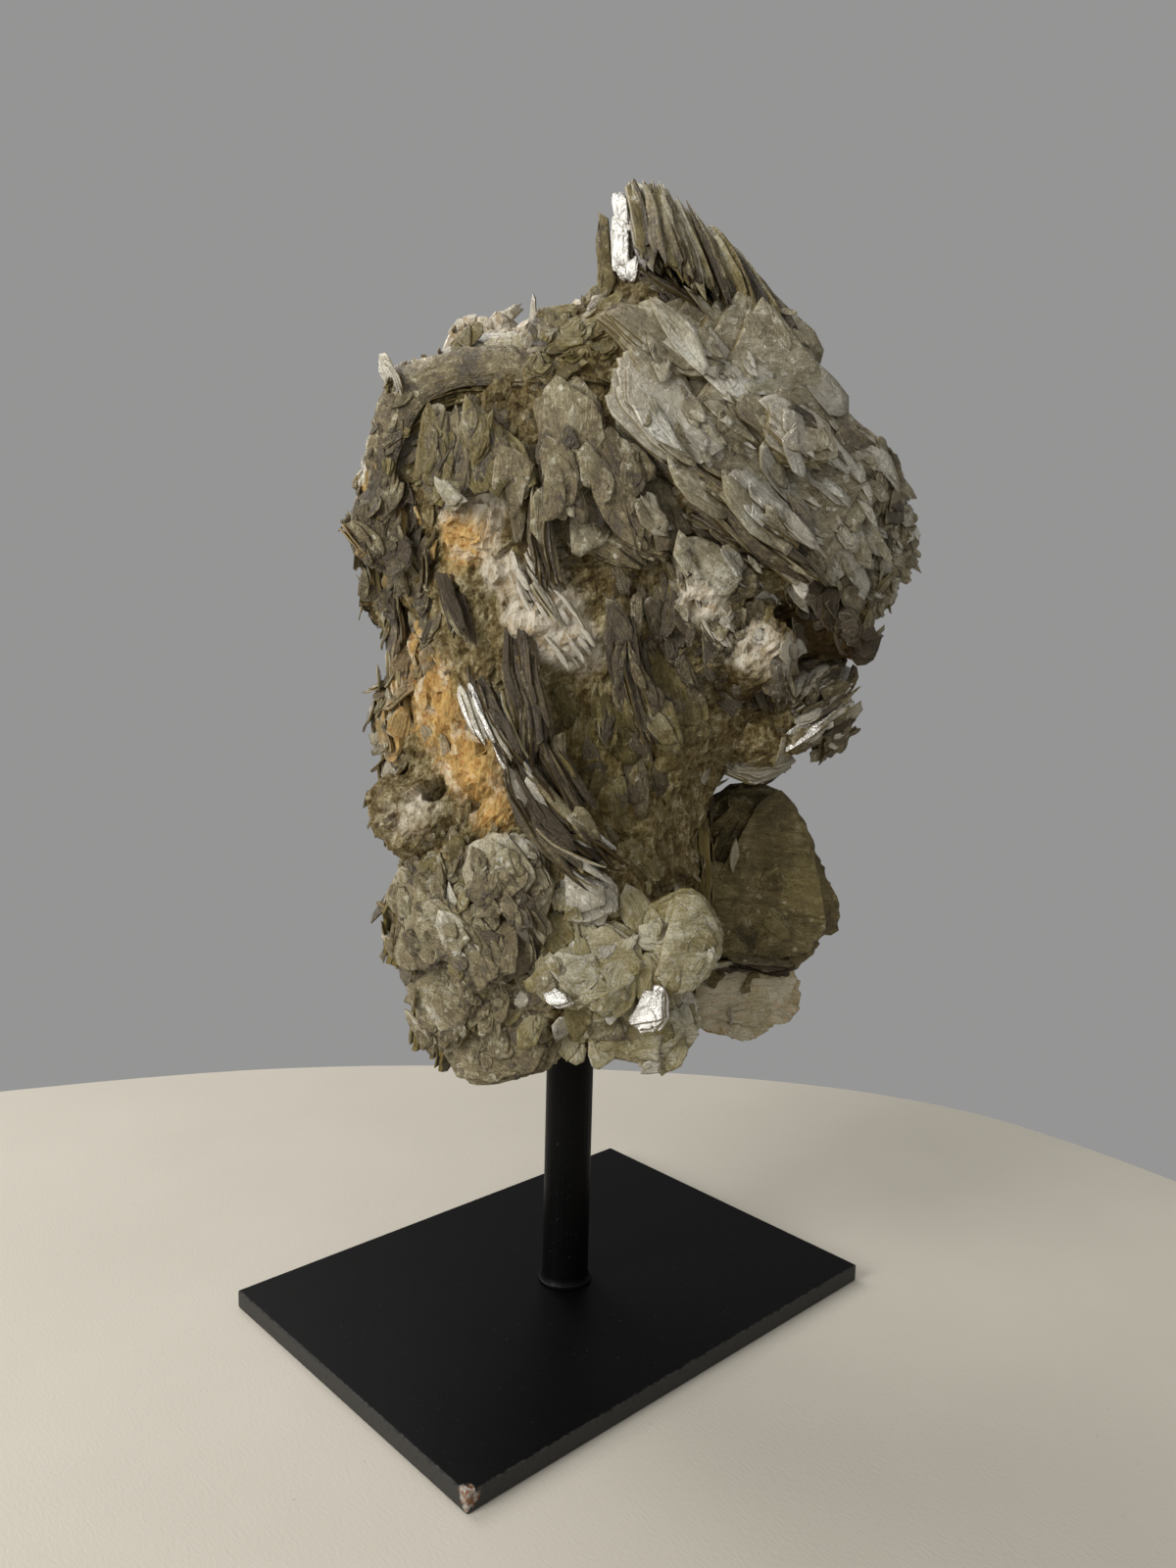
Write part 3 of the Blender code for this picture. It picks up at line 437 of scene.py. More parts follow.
MICA_TONES = ((0.0, (0.018, 0.010, 0.002)), (0.28, (0.088, 0.060, 0.016)), (0.55, (0.205, 0.165, 0.075)),
              (0.8, (0.38, 0.335, 0.215)), (1.0, (0.64, 0.60, 0.48)))
HONEY, RUST, CREAM = (0.58, 0.38, 0.13), (0.42, 0.175, 0.036), (0.70, 0.59, 0.41)
WHITE, OLIVE, UMBER = (0.60, 0.55, 0.45), (0.26, 0.215, 0.065), (0.034, 0.020, 0.004)
COOL, SEEP, SHADED = (0.97, 1.0, 1.03), (0.12, 0.08, 0.028), (0.60, 0.50, 0.36)
BRIGHT_RIM, SILVER = (0.52, 0.47, 0.36), (0.80, 0.78, 0.74)
AMBER = (1.0, 0.82, 0.58)  # tint of what the mineral reflects
SOFT = (1.0, 0.8, 0.5)  # how far each colour sinks in
# painted shade for crevices: the colour that a hemmed-in surface is darkened towards, and how far that shade
# reaches
CREVICE_SHADE, CREVICE_SHADE_REACH = (0.26, 0.18, 0.09), 3.5  # what a crevice leaves of each colour, and its size in mm

FLOOR_CORNERS = ((-420, 40), (-190, 148), (-60, 176), (110, 166), (200, 110), (330, -120), (300, -420),
                 (-60, -560), (-420, -420))
FLOOR_DEEP = 8.0
# Soft light from all round, by how far a direction turns to the window, and the grey that shows
WINDOW_WAY = (-0.62, -0.52, 0.58)
AMBIENT = ((0.0, (0.15, 0.15, 0.15)), (0.45, (0.24, 0.24, 0.238)), (0.75, (0.46, 0.455, 0.44)),
           (1.0, (0.78, 0.765, 0.74)))
BACKDROP = (0.30, 0.30, 0.298)
# Lamps: place in the front view, size in millimetres, watts and colour
LIGHTS = (
    ("top", (-330, 330, 620), (420, 420), 2.4, (1.0, 0.98, 0.95)),
    ("window", (-520, -420, 430), (260, 420), 4.3, (1.0, 0.985, 0.96)),
    ("front_fill", (250, -620, 420), (700, 500), 0.55, (1.0, 0.98, 0.96)),
)


# --- directions, paths and outlines --------------------------------------------------------

def unit(vectors):
    return vectors / np.linalg.norm(vectors, axis=-1, keepdims=True)


def square_to(vectors, axes):
    """Unit vectors square to the axes, as near to the given vectors as can be."""
    return unit(vectors - (vectors * axes).sum(axis=-1, keepdims=True) * axes)


def framed(along, facing):
    """Axes of each sheet, as rows: along the grain, across it and outwards."""
    return np.stack((along, np.cross(facing, along), facing), -2)


def directions(turn, lift, grain):
    """Axes from angles in degrees, as in the table of books."""
    turn, lift, grain = np.broadcast_arrays(*(np.radians(np.asarray(a, float)) for a in (turn, lift, grain)))
    facing = np.stack((np.sin(turn) * np.cos(lift), -np.cos(turn) * np.cos(lift), np.sin(lift)), -1)
    right = np.stack((np.cos(turn), np.sin(turn), np.zeros_like(turn)), -1)
    up = np.cross(facing, right)
    return framed(right * np.cos(grain)[..., None] + up * np.sin(grain)[..., None], facing)


def turned(axes, first, second, angle):
    """The axes turned in the plane of two of their rows, by an angle in degrees for each sheet."""
    angle = np.radians(np.broadcast_to(angle, len(axes)))[:, None]
    out = axes.copy()
    out[:, first] = np.cos(angle) * axes[:, first] + np.sin(angle) * axes[:, second]
    out[:, second] = np.cos(angle) * axes[:, second] - np.sin(angle) * axes[:, first]
    return out


def cut_corners(path, times, closed=True):
    """A path or closed outline with its corners cut off, again and again."""
    path = np.array(path, float)
    for _ in range(times):
        following = np.roll(path, -1, axis=0)
        both = np.stack((path * 0.75 + following * 0.25, path * 0.25 + following * 0.75), 1)
        if closed:
            path = both.reshape(-1, path.shape[1])
        else:
            path = np.vstack((path[:1], both[:-1].reshape(-1, path.shape[1]), path[-1:]))
    return path


def run_of(path):
    """Distance along the path up to each of its points."""
    return np.r_[0, np.cumsum(np.linalg.norm(np.diff(path, axis=0), axis=1))]


def sampled(values, run, at):
    """The values at places between those of the run."""
    return np.stack([np.interp(at, run, column) for column in values.T], -1)


def evenly(values, at):
    """A value between evenly spaced ones, from 0 at the first to 1 at the last."""
    return np.interp(at, np.linspace(0, 1, len(values)), values)


def resampled(outline, points):
    """A closed outline with evenly spaced points."""
    closed = np.vstack((outline, outline[:1]))
    run = run_of(closed)
    return sampled(closed, run, np.linspace(0, run[-1], points, endpoint=False))


def smooth_path(points):
    """A rounded path through a few points, and its length."""
    path = cut_corners(points, 3, closed=False)
    run = run_of(path)
    return sampled(path, run, np.linspace(0, run[-1], PATH_POINTS)), run[-1]


def broken_edge(count, points, corners, depth, fine, rng):
    """How far a broken rim stands in or out round the outline: straight breaks, and nicks."""
    angle = np.arange(points) / points
    edge = np.empty((count, points))
    for i in range(count):
        at = np.sort(rng.uniform(0, 1, corners))
        edge[i] = np.interp(angle, at, rng.uniform(-depth, depth, corners), period=1)
    return 1 + edge + rng.normal(0, fine, (count, points))


def shards(length, width, points, shard, rng):
    """Broken outlines of the given lengths and widths: straight breaks, and ends torn along the grain."""
    count, corners = len(length), shard.corners
    outlines = np.empty((count, points, 2))
    for i in range(count):
        angle = math.tau * (np.arange(corners) + rng.uniform(-0.35, 0.35, corners)) / corners
        along, across = np.cos(angle), np.sin(angle)
        reach = (np.abs(along) ** shard.power + np.abs(across) ** shard.power) ** (-1 / shard.power)
        reach = reach * rng.uniform(1 - 1.7 * shard.jut, 1 + 0.3 * shard.jut, corners)
        corner = np.stack((reach * along, reach * across * (1 - shard.taper * along)), -1)
        outlines[i] = resampled(corner, points)
    torn = rng.normal(0, shard.fray, (count, points)) * np.abs(outlines[..., 0]) ** 1.5
    outlines[..., 0] += torn * np.sign(outlines[..., 0])
    return outlines * (np.stack((length, width), -1) / 2)[:, None, :]


def warped(points):
    """The points moved by smooth waves, so that sheets that lie on each other bend together."""
    rng = np.random.default_rng(SEED)
    moved = points.copy()
    for length, reach in WARPS:
        for _ in range(WARP_WAVES):
            wave = unit(rng.normal(size=3)) * math.tau / (length * rng.uniform(0.7, 1.6))
            push = unit(rng.normal(size=3)) * reach * math.sqrt(2 / WARP_WAVES)
            moved += push * np.sin(points @ wave + rng.uniform(0, math.tau))[:, None]
    return moved


# --- sheets to triangles -----------------------------------------------------------------

def sheet_triangles(points, top, under):
    """Triangles of one sheet, and which of them are its side."""
    triangles, side = [], []

    def band(outer, inner, is_side=False):
        for i in range(points):
            j = (i + 1) % points
            triangles.append((outer + i, outer + j, inner + j))
            triangles.append((outer + i, inner + j, inner + i))
            side.extend((is_side, is_side))

    def cap(ring, middle, flip):
        for i in range(points):
            j = (i + 1) % points
            triangles.append((ring + j, ring + i, middle) if flip else (ring + i, ring + j, middle))
            side.append(False)

    for ring in range(top - 1):
        band(ring * points, (ring + 1) * points)
    cap((top - 1) * points, top * points, False)
    base = top * points + 1
    band(base, 0, True)
    for ring in range(under - 1):
        band(base + (ring + 1) * points, base + ring * points)
    cap(base + (under - 1) * points, base + under * points, True)
    return np.array(triangles), np.array(side)


def sheets(centre, axes, outline, thick, looks, chance, bend=0.0, curl=0.0, ripple=0.0, phase=0.0,
           rings=(TOP_RINGS, UNDER_RINGS), tip_tone=0.0):
    """Thin closed sheets as one batch, from outlines in millimetres, (sheet, point, 2).

    Each is bent along its length, curled across it and rippled. tip_tone makes its far end paler.
    """
    count, points, _ = outline.shape
    half = np.abs(outline).max(axis=1)[:, None, :]
    thick, bend, curl, ripple, phase, chance = (
        np.broadcast_to(value, count)[:, None] for value in (thick, bend, curl, ripple, phase, chance))

    def surface(flat):
        u, v = flat[..., 0] / half[..., 0], flat[..., 1] / half[..., 1]
        wave = np.sin(2.3 * u + phase) * np.cos(3.1 * v + 1.7 * phase)
        wave = wave + 0.5 * np.sin(6.1 * u - 4.3 * v + phase)
        return bend * u ** 2 + curl * v ** 2 + ripple * wave

    flats, heights, rims = [], [], []
    for side_rings, ring_rims, middle_level in zip(rings, (TOP_RIMS, UNDER_RIMS), (1.0, 0.0)):
        for (share, level), ring_rim in zip(side_rings, ring_rims):
            flats.append(outline * share)
            heights.append(surface(flats[-1]) + thick * level)
            rims.append(np.full((count, points), ring_rim))
        flats.append(np.zeros((count, 1, 2)))
        heights.append(surface(flats[-1]) + thick * middle_level)
        rims.append(np.zeros((count, 1)))
    flat, height, rim = (np.concatenate(parts, axis=1) for parts in (flats, heights, rims))
    local = np.concatenate((flat, height[..., None]), axis=-1)
    place = centre[:, None, :] + np.einsum("nvi,nij->nvj", local, axes)
    each = place.shape[1]
    triangles, side = sheet_triangles(points, len(rings[0]), len(rings[1]))
    triangles = (triangles[None] + np.arange(count)[:, None, None] * each).reshape(-1, 3)
    look = np.repeat(looks[:, None, :], each, axis=1)
    look[..., 0] += tip_tone * flat[..., 0] / half[..., 0]
    edge = np.stack(np.broadcast_arrays(rim, chance), -1)
    slots = np.tile(np.where(side, EDGE, FACE), count)
    grain = np.einsum("nvi,nji->nvj", place, axes)
    return Batch(place.reshape(-1, 3), triangles, slots, slots == FACE, grain.reshape(-1, 3),
                 look.reshape(-1, len(KINDS)), edge.reshape(-1, 2))


def joined(batches):
    """Several batches as one."""
    start = np.cumsum([0] + [len(batch.points) for batch in batches])
    triangles = [batch.triangles + first for batch, first in zip(batches, start)]
    rest = {field: np.concatenate([getattr(batch, field) for batch in batches])
            for field in Batch._fields if field != "triangles"}
    return Batch(triangles=np.concatenate(triangles), **rest)


# --- finishes ----------------------------------------------------------------------------

def finishes(names, rng, spread=0.1):
    """A row of finish values for each name, no two quite alike."""
    rows = np.array([LOOKS[name] for name in names], float)
    rows[:, 0] += rng.normal(0, spread, len(rows))
    rows[:, 1:5] *= rng.uniform(0.6, 1.25, (len(rows), 4))
    return rows


def likely_first(looks, count, spread, rng):
    """Names drawn from the looks, the first ones most often."""
    return [looks[min(int(rng.exponential(spread)), len(looks) - 1)] for _ in range(count)]


def tinted(rows, places, share):
    """The finish rows with the tints of the places mixed in."""
    rows = rows.copy()
    for kind, balls in TINTS.items():
        column = KINDS.index(kind)
        for *centre, radius, strength in balls:
            away = np.linalg.norm(places - np.array(centre), axis=1) / radius
            weight = share * strength * np.clip(1.6 - 1.6 * away, 0, 1)
            rows[:, column] += (1 - rows[:, column]) * weight
    return rows


def stained(batch, share):
    """The batch with the tints mixed into it point by point."""
    return batch._replace(look=tinted(batch.look, batch.points, share))


# --- books -------------------------------------------------------------------------------

def stepped(outlines, rng):
    """The outlines with each sheet broken off further than the one below, along a few straight lines."""
    rise = np.linspace(0, 1, len(outlines))
    half = np.abs(outlines).max(axis=(0, 1))
    for _ in range(BREAKS):
        angle = rng.uniform(0, math.tau)
        way = np.array((math.cos(angle), math.sin(angle)))
        reach = np.linalg.norm(half * way)
        start = rng.uniform(0, 0.8)
        depth = BREAK_DEPTH * rng.uniform(0.2, 1) * np.clip((rise - start) / (1 - start), 0, 1)
        depth = depth + rng.normal(0, 0.03, len(outlines))
        over = np.maximum(outlines @ way - reach * (1 - depth)[:, None], 0)
        outlines = outlines - over[..., None] * way
    return outlines


def stack(centre, axes, outline, book, rng, bend=0.0, fan=0.0):
    """The sheets of one book: alike outlines, each a little turned, shifted, tilted and smaller."""
    count, points = book.sheets, len(outline)
    edge = broken_edge(1, points, 9, 0.06, 0.0, rng) * broken_edge(count, points, 13, 0.06, 0.008, rng)
    steps = np.r_[0, np.cumsum(rng.exponential(1, count - 1))]
    last = max(steps[-1], 1e-6)
    shrink = 1 - (1 - TOP_SHARE) * steps / last
    outlines = outline[None] * edge[..., None] * shrink[:, None, None]
    frayed = rng.normal(0, 0.025, (count, points)) * np.abs(outline[:, 0])
    outlines[..., 0] += frayed * np.sign(outline[:, 0])
    outlines = stepped(outlines, rng)
    half = np.abs(outline).max(axis=0)
    slip = rng.normal(0, 0.03, (count, 2)) * half
    sheet_axes = turned(np.repeat(axes[None], count, axis=0), 0, 1, rng.normal(0, 2.5, count))
    root = half[0] * (1 if rng.random() < 0.5 else -1)
    spread = fan * (steps / last - 0.7) + rng.normal(0, 0.6, count)
    fanned = turned(sheet_axes, 0, 2, spread * np.sign(root))
    fanned = turned(fanned, 1, 2, rng.normal(0, 0.6, count))
    parts = rng.uniform(0.35, 1.6, count)
    thick = book.thick * parts / parts.sum()
    height = np.cumsum(thick) - thick - book.thick * SUNK
    middle = centre - root * axes[0] + root * fanned[:, 0] + height[:, None] * axes[2]
    middle = middle + slip[:, :1] * axes[0] + slip[:, 1:] * axes[1]
    looks = finishes([book.look] * count, rng, 0.05)
    phase = rng.uniform(0, math.tau)
    return sheets(middle, fanned, outlines, thick * 0.96, looks, rng.uniform(0, 1, count),
                  bend=bend + rng.normal(0, 0.12, count), curl=rng.normal(0, 0.12, count),
                  ripple=0.1 + 0.004 * half[0], phase=phase)


def book_batch(book, rng):
    axes = directions(book.turn, book.lift, book.grain)
    shard = BOOK_SHARD._replace(taper=rng.uniform(*BOOK_TAPER))
    outline = shards(np.array([book.length * BOOK_SWELL]), np.array([book.width * BOOK_SWELL]), BOOK_POINTS,
                     shard, rng)[0]
    return stack(np.array(book.centre, float), axes, outline, book, rng, book.bend, book.fan)


def plate_batch(plate, rng):
    """The outline is laid onto the plate's plane along the line of sight, then stacked."""
    axes = directions(plate.turn, plate.lift, 0.0)
    seen = resampled(cut_corners(plate.outline, 2), PLATE_POINTS)
    middle = np.array(plate.outline, float).mean(axis=0)
    offset = np.stack((seen[:, 0] - middle[0], np.zeros(len(seen)), seen[:, 1] - middle[1]), -1)
    offset[:, 1] = -offset @ axes[2] / axes[2, 1]
    outline = np.stack((offset @ axes[0], offset @ axes[1]), -1)
    return stack(np.array((middle[0], plate.depth, middle[1])), axes, outline, plate, rng)


def crest_batch(rng):
    """The fan of long blades on top: tips along an arc, feet close together, shorter ones between."""
    count = CREST_BLADES
    t = rng.uniform(0, 1, count)
    deep = rng.uniform(0, 1, count)
    tip = np.stack((10 + 28 * t, -24 + 8 * t + 16 * deep, 287 - 17 * t ** 2 - 2 * deep), -1)
    foot = np.stack((16 + 36 * t, -40 + 9 * t + 20 * deep, 264 - 16 * t), -1)
    tip = foot + (tip - foot) * rng.uniform(0.78, 1.0, (count, 1)) + rng.normal(0, 0.7, (count, 3))
    length = np.linalg.norm(tip - foot, axis=1)
    along = (tip - foot) / length[:, None]
    facing = directions(rng.uniform(-60, 30, count), rng.uniform(0, 20, count), 0.0)[:, 2]
    axes = framed(along, square_to(facing, along))
    outline = shards(length, rng.uniform(*CREST_WIDTH, count), CREST_POINTS, CREST_SHARD, rng)
    names = rng.choice(tuple(CREST_LOOKS), count, p=tuple(CREST_LOOKS.values()))
    looks = finishes(names, rng, 0.1)
    return sheets((tip + foot) / 2, axes, outline, rng.uniform(0.35, 0.9, count), looks,
                  rng.uniform(0, 1, count), bend=rng.normal(0, 0.7, count), curl=rng.normal(0, 0.3, count),
                  ripple=0.2, phase=rng.uniform(0, math.tau, count), tip_tone=0.4)


# --- blades and bands along a path ---------------------------------------------------------

def sheaf_batch(sheaf, rng):
    """Long narrow blades that lie along a path, side by side and over each other."""
    path, path_length = smooth_path(sheaf.path)
    run = np.linspace(0, 1, PATH_POINTS)
    count = sheaf.count
    length = rng.uniform(*sheaf.length, count)
    half = np.minimum(length / (2 * path_length), 0.5)
    at = half + (1 - 2 * half) * rng.uniform(0, 1, count)
    place, behind, ahead = (sampled(path, run, where) for where in (at, at - 0.7 * half, at + 0.7 * half))
    along = unit(ahead - behind)
    facing = square_to(unit(np.array(sheaf.facing, float)), along)
    aside = np.cross(facing, along)
    offset = rng.uniform(-0.5, 0.5, count)
    place = place + aside * (evenly(sheaf.spread, at) * offset)[:, None]
    place = place - facing * (sheaf.deep * rng.uniform(0, 1, count))[:, None]
    along = unit(along + aside * (0.3 * offset * rng.uniform(0, 1, count))[:, None] * sheaf.fan)
    axes = turned(framed(along, facing), 1, 2, rng.normal(0, sheaf.roll, count))
    axes = turned(axes, 0, 2, rng.normal(0, 3, count))
    outline = shards(length, rng.uniform(*sheaf.width, count), BLADE_POINTS, BLADE_SHARD, rng)
    names = [sheaf.looks[pick] for pick in rng.integers(len(sheaf.looks), size=count)]
    looks = tinted(finishes(names, rng, 0.1), place, 0.3)
    return sheets(place, axes, outline, rng.uniform(0.3, 0.8, count), looks, rng.uniform(0, 1, count),
                  bend=-sheaf.bend * length ** 2 / 400 + rng.normal(0, 0.4, count),
                  curl=rng.normal(0, 0.15, count), ripple=0.1, phase=rng.uniform(0, math.tau, count),
                  tip_tone=0.1)


def grid_triangles(across, deep):
    """Triangles of a closed sheet of two grids, and which of them are its side."""
    def at(i, j, under):
        return under * across * deep + i * deep + j

    triangles, side = [], []
    for i in range(across - 1):
        for j in range(deep - 1):
            for under in (0, 1):
                ring = [at(i, j, under), at(i + 1, j, under), at(i + 1, j + 1, under), at(i, j + 1, under)]
                ring = ring[::-1] if under else ring
                triangles += [(ring[0], ring[1], ring[2]), (ring[0], ring[2], ring[3])]
                side += [False, False]
    border = [(i, 0) for i in range(across - 1)] + [(across - 1, j) for j in range(deep - 1)]
    border += [(i, deep - 1) for i in range(across - 1, 0, -1)] + [(0, j) for j in range(deep - 1, 0, -1)]
    for (i, j), (k, m) in zip(border, border[1:] + border[:1]):
        a, b, c, d = at(i, j, 1), at(k, m, 1), at(k, m, 0), at(i, j, 0)
        triangles += [(a, b, c), (a, c, d)]
        side += [True, True]
    return np.array(triangles), np.array(side)


def sweep_span(rng):
    """Where a sheet starts and ends along its path: near the ends, or for one in four near the middle."""
    start, end = rng.uniform(0, 0.22), 1 - rng.uniform(0, 0.22)
    if rng.random() < 0.25:
        return (start, rng.uniform(0.45, 0.7)) if rng.random() < 0.5 else (rng.uniform(0.3, 0.55), end)
    return start, end


def sweep_batch(sweep, rng):
    """Sheets on edge side by side, whose visible edges run along a path and that reach inwards from it."""
    path, length = smooth_path(sweep.path)
    run = np.linspace(0, 1, PATH_POINTS)
    tangent = unit(np.gradient(path, axis=0))
    inward = square_to(unit(np.array(sweep.inward, float)), tangent)
    aside = np.cross(tangent, inward)
    spread = evenly(sweep.spread, run)
    place = np.linspace(-0.5, 0.5, sweep.sheets) + rng.normal(0, 0.25 / sweep.sheets, sweep.sheets)
    triangles, side = grid_triangles(SWEEP_ACROSS, SWEEP_DEEP)
    deep = np.linspace(0, 1, SWEEP_DEEP)
    batches = []
    for k in range(sweep.sheets):
        start, end = sweep_span(rng)
        at = np.linspace(start, end, SWEEP_ACROSS)
        front = sampled(path, run, at)
        to_inside, to_side = (unit(sampled(way, run, at)) for way in (inward, aside))
        nicks = rng.normal(0, 0.35, SWEEP_ACROSS) + 0.8 * np.sin(at * rng.uniform(5, 12) + rng.uniform(0, 6))
        begin = rng.uniform(-0.8, 1.8) + nicks
        begin = begin + (2 * (at - start) / (end - start) - 1) ** 4 * rng.uniform(1.5, 4)
        reach = sweep.reach * rng.uniform(0.6, 1)
        depth = begin[:, None] + (reach - begin[:, None]) * deep
        thick = rng.uniform(*SWEEP_THICK) * (0.45 + 0.55 * np.minimum(deep * 3, 1))
        wavy = 0.25 * np.sin(at[:, None] * 9 + deep * 4 + place[k] * 3)
        offset = (place[k] * np.interp(at, run, spread))[:, None] + wavy
        middle = front[:, None] + to_inside[:, None] * depth[..., None]
        middle = middle + to_side[:, None] * offset[..., None]
        half = to_side[:, None] * thick[None, :, None] / 2
        points = np.concatenate(((middle + half).reshape(-1, 3), (middle - half).reshape(-1, 3)))
        local = np.broadcast_arrays(at[:, None] * length, depth, place[k] * spread.mean())
        local = np.stack(local, -1).reshape(-1, 3)
        grain = np.concatenate((local, local - (0, 0, 0.5))) + rng.uniform(-400, 400, 3)
        look = finishes([sweep.looks[rng.integers(len(sweep.looks))]], rng, 0.07)
        look = tinted(np.repeat(look, len(points), axis=0), points, 0.35)
        rim = np.tile(deep < 0.2, 2 * SWEEP_ACROSS).astype(float)
        edge = np.stack((rim, np.full(len(points), rng.random())), -1)
        batches.append(Batch(points, triangles, np.where(side, EDGE, FACE), ~side, grain, look, edge))
    return joined(batches)


# --- the mass and what clads its back ------------------------------------------------------

def core_points(height, angle):
    """Points on the mass. The angle is 0 to the front and a quarter turn to the right."""
    left, right, front, back = (np.interp(height, CORE[:, 0], CORE[:, side]) for side in range(1, 5))
    power = 2 / CORE_SQUARENESS
    x, y = np.sin(angle), -np.cos(angle)
    x = np.sign(x) * np.abs(x) ** power * (right - left) / 2
    y = np.sign(y) * np.abs(y) ** power * (back - front) / 2
    return np.stack(((left + right) / 2 + x, (front + back) / 2 + y, height + 0 * x), -1)


def back_books(rng):
    """Books that clad the sides and the back, each row set off from the one below."""
    books = []
    for row, height in enumerate(BACK_ROWS):
        for turn in BACK_TURNS:
            side = math.radians(turn + (16 if row % 2 else 0))
            place = core_points(height + rng.uniform(-4, 4), side)
            scale = rng.uniform(0.8, 1.15)
            lift = rng.uniform(-8, 22) - (14 if height < 100 else 0)
            look = BACK_LOOKS[rng.integers(len(BACK_LOOKS))]
            books.append(BACK_BOOK._replace(
                centre=tuple(place), turn=turn + rng.uniform(-12, 12), lift=lift,
                grain=BACK_BOOK.grain + rng.uniform(-35, 35), length=BACK_BOOK.length * scale,
                width=BACK_BOOK.width * scale, look=look))
    return books


# --- feldspar and quartz between the books ------------------------------------------------

def core_shape():
    """The mass as a fine loft: points and triangles."""
    heights = np.arange(CORE[0, 0], CORE[-1, 0], CORE_STEP)
    angles = math.tau * np.arange(CORE_AROUND) / CORE_AROUND
    rings = [core_points(height, angles) for height in heights]
    last = CORE_AROUND * (len(rings) - 1)
    bottom, top = last + CORE_AROUND, last + CORE_AROUND + 1
    triangles = []
    for i in range(CORE_AROUND):
        j = (i + 1) % CORE_AROUND
        triangles += [(j, i, bottom), (last + i, last + j, top)]
        for low in range(0, last, CORE_AROUND):
            high = low + CORE_AROUND
            triangles += [(low + i, low + j, high + j), (low + i, high + j, high + i)]
    return np.vstack(rings + [rings[0].mean(axis=0), rings[-1].mean(axis=0)]), triangles


def melted_matrix():
    """Core and lumps as one mesh, in millimetres."""
    points, triangles = core_shape()
    data = bpy.data.meshes.new("matrix_shape")
    data.from_pydata(points.tolist(), [], triangles)
    mesh = bmesh.new()
    mesh.from_mesh(data)
    for lump in LUMPS:
        ball = bmesh.ops.create_icosphere(mesh, subdivisions=4, radius=1)["verts"]
        for vert in ball:
            swell = 1 + LUMP_SWELL * noise.noise(vert.co * 1.7 + Vector(lump.centre))
            vert.co = Vector([r * c * swell for r, c in zip(lump.radii, vert.co)]) + Vector(lump.centre)
    mesh.to_mesh(data)
    mesh.free()
    thing = added("matrix_shape", data)
    remesh = thing.modifiers.new("melt", "REMESH")
    remesh.mode = "VOXEL"
    remesh.voxel_size = MATRIX_VOXEL
    bpy.context.view_layer.update()
    melted = bpy.data.meshes.new_from_object(thing.evaluated_get(bpy.context.evaluated_depsgraph_get()))
    bpy.data.objects.remove(thing)
    return melted


def broken_offset(point):
    """How far the broken surface stands out: waves, and cells that are planes tilted their own way."""
    out = sum(reach * noise.noise(point / size) for size, reach in MATRIX_WAVES)
    for size, tilt in MATRIX_CELLS:
        middle = noise.voronoi(point / size)[1][0]
        direction = noise.cell_vector(middle * 53) - Vector((0.5, 0.5, 0.5))
        out += size * tilt * direction.dot(point / size - middle)
    return out


def matrix_batch():
    """The melted mass with its broken surface and its holes."""
    melted = melted_matrix()
    melted.calc_loop_triangles()
    points = read(melted.vertices, "co", 3)
    normals = read(melted.vertices, "normal", 3)
    triangles = read(melted.loop_triangles, "vertices", 3, np.int32)
    push = np.array([broken_offset(Vector(point)) for point in points.tolist()])
    for pit in PITS:
        away = np.linalg.norm(points - np.array(pit.centre), axis=1) / pit.radius
        push -= pit.deep * np.clip(2.6 - 2 * away, 0, 1)
    points = points + normals * push[:, None]
    looks = np.tile(np.array(MATRIX_LOOK, float), (len(points), 1))
    slots = np.full(len(triangles), FACE)
    smooth = np.zeros(len(triangles), bool)
    edge = np.zeros((len(points), 2))
    return Batch(points, triangles, slots, smooth, points, tinted(looks, points, 1.0), edge)


def read(items, field, width, kind=np.float32):
    """A mesh's field as an array."""
    values = np.empty(len(items) * width, kind)
    items.foreach_get(field, values)
    return values.reshape(-1, width)


# --- flakes and grains ---------------------------------------------------------------------

def surface_of(batch):
    return BVHTree.FromPolygons(batch.points.tolist(), batch.triangles.tolist())


def ray_hits(surface, origins, facings):
    """Where rays towards the specimen first touch it: (index of the ray, place, normal)."""
    found = []
    for i, (origin, facing) in enumerate(zip(origins, facings)):
        place, normal, _, _ = surface.ray_cast(Vector(origin), Vector(-facing), RAY_REACH)
        if place is None:
            continue
        if normal.dot(Vector(facing)) < 0:
            normal = -normal
        found.append((i, tuple(place), tuple(normal)))
    return tuple(np.array(column) for column in zip(*found))


def sprinkled(surface, coat, crowding, waver, slack, rng):
    """Places and normals where the surface shows in the coat's ellipsoid, seen from its side."""
    centre, radii = np.array(coat.centre, float), np.array(coat.radii, float)
    facing = directions(coat.turn, coat.lift, 0.0)[2]
    ball = unit(rng.normal(size=(coat.count, 3))) * rng.uniform(0, 1, (coat.count, 1)) ** crowding
    aim = unit(facing + rng.normal(0, waver, (coat.count, 3)))
    _, places, normals = ray_hits(surface, centre + ball * radii + aim * RAY_START, aim)
    near = (((places - centre) / (radii * slack)) ** 2).sum(axis=1) < 1
    return places[near], normals[near]


def lean_on(axes, normals, follow):
    """The axes with their facing drawn towards the surface's normal."""
    facing = unit((1 - follow) * axes[:, 2] + follow * normals)
    return framed(square_to(axes[:, 0], facing), facing)


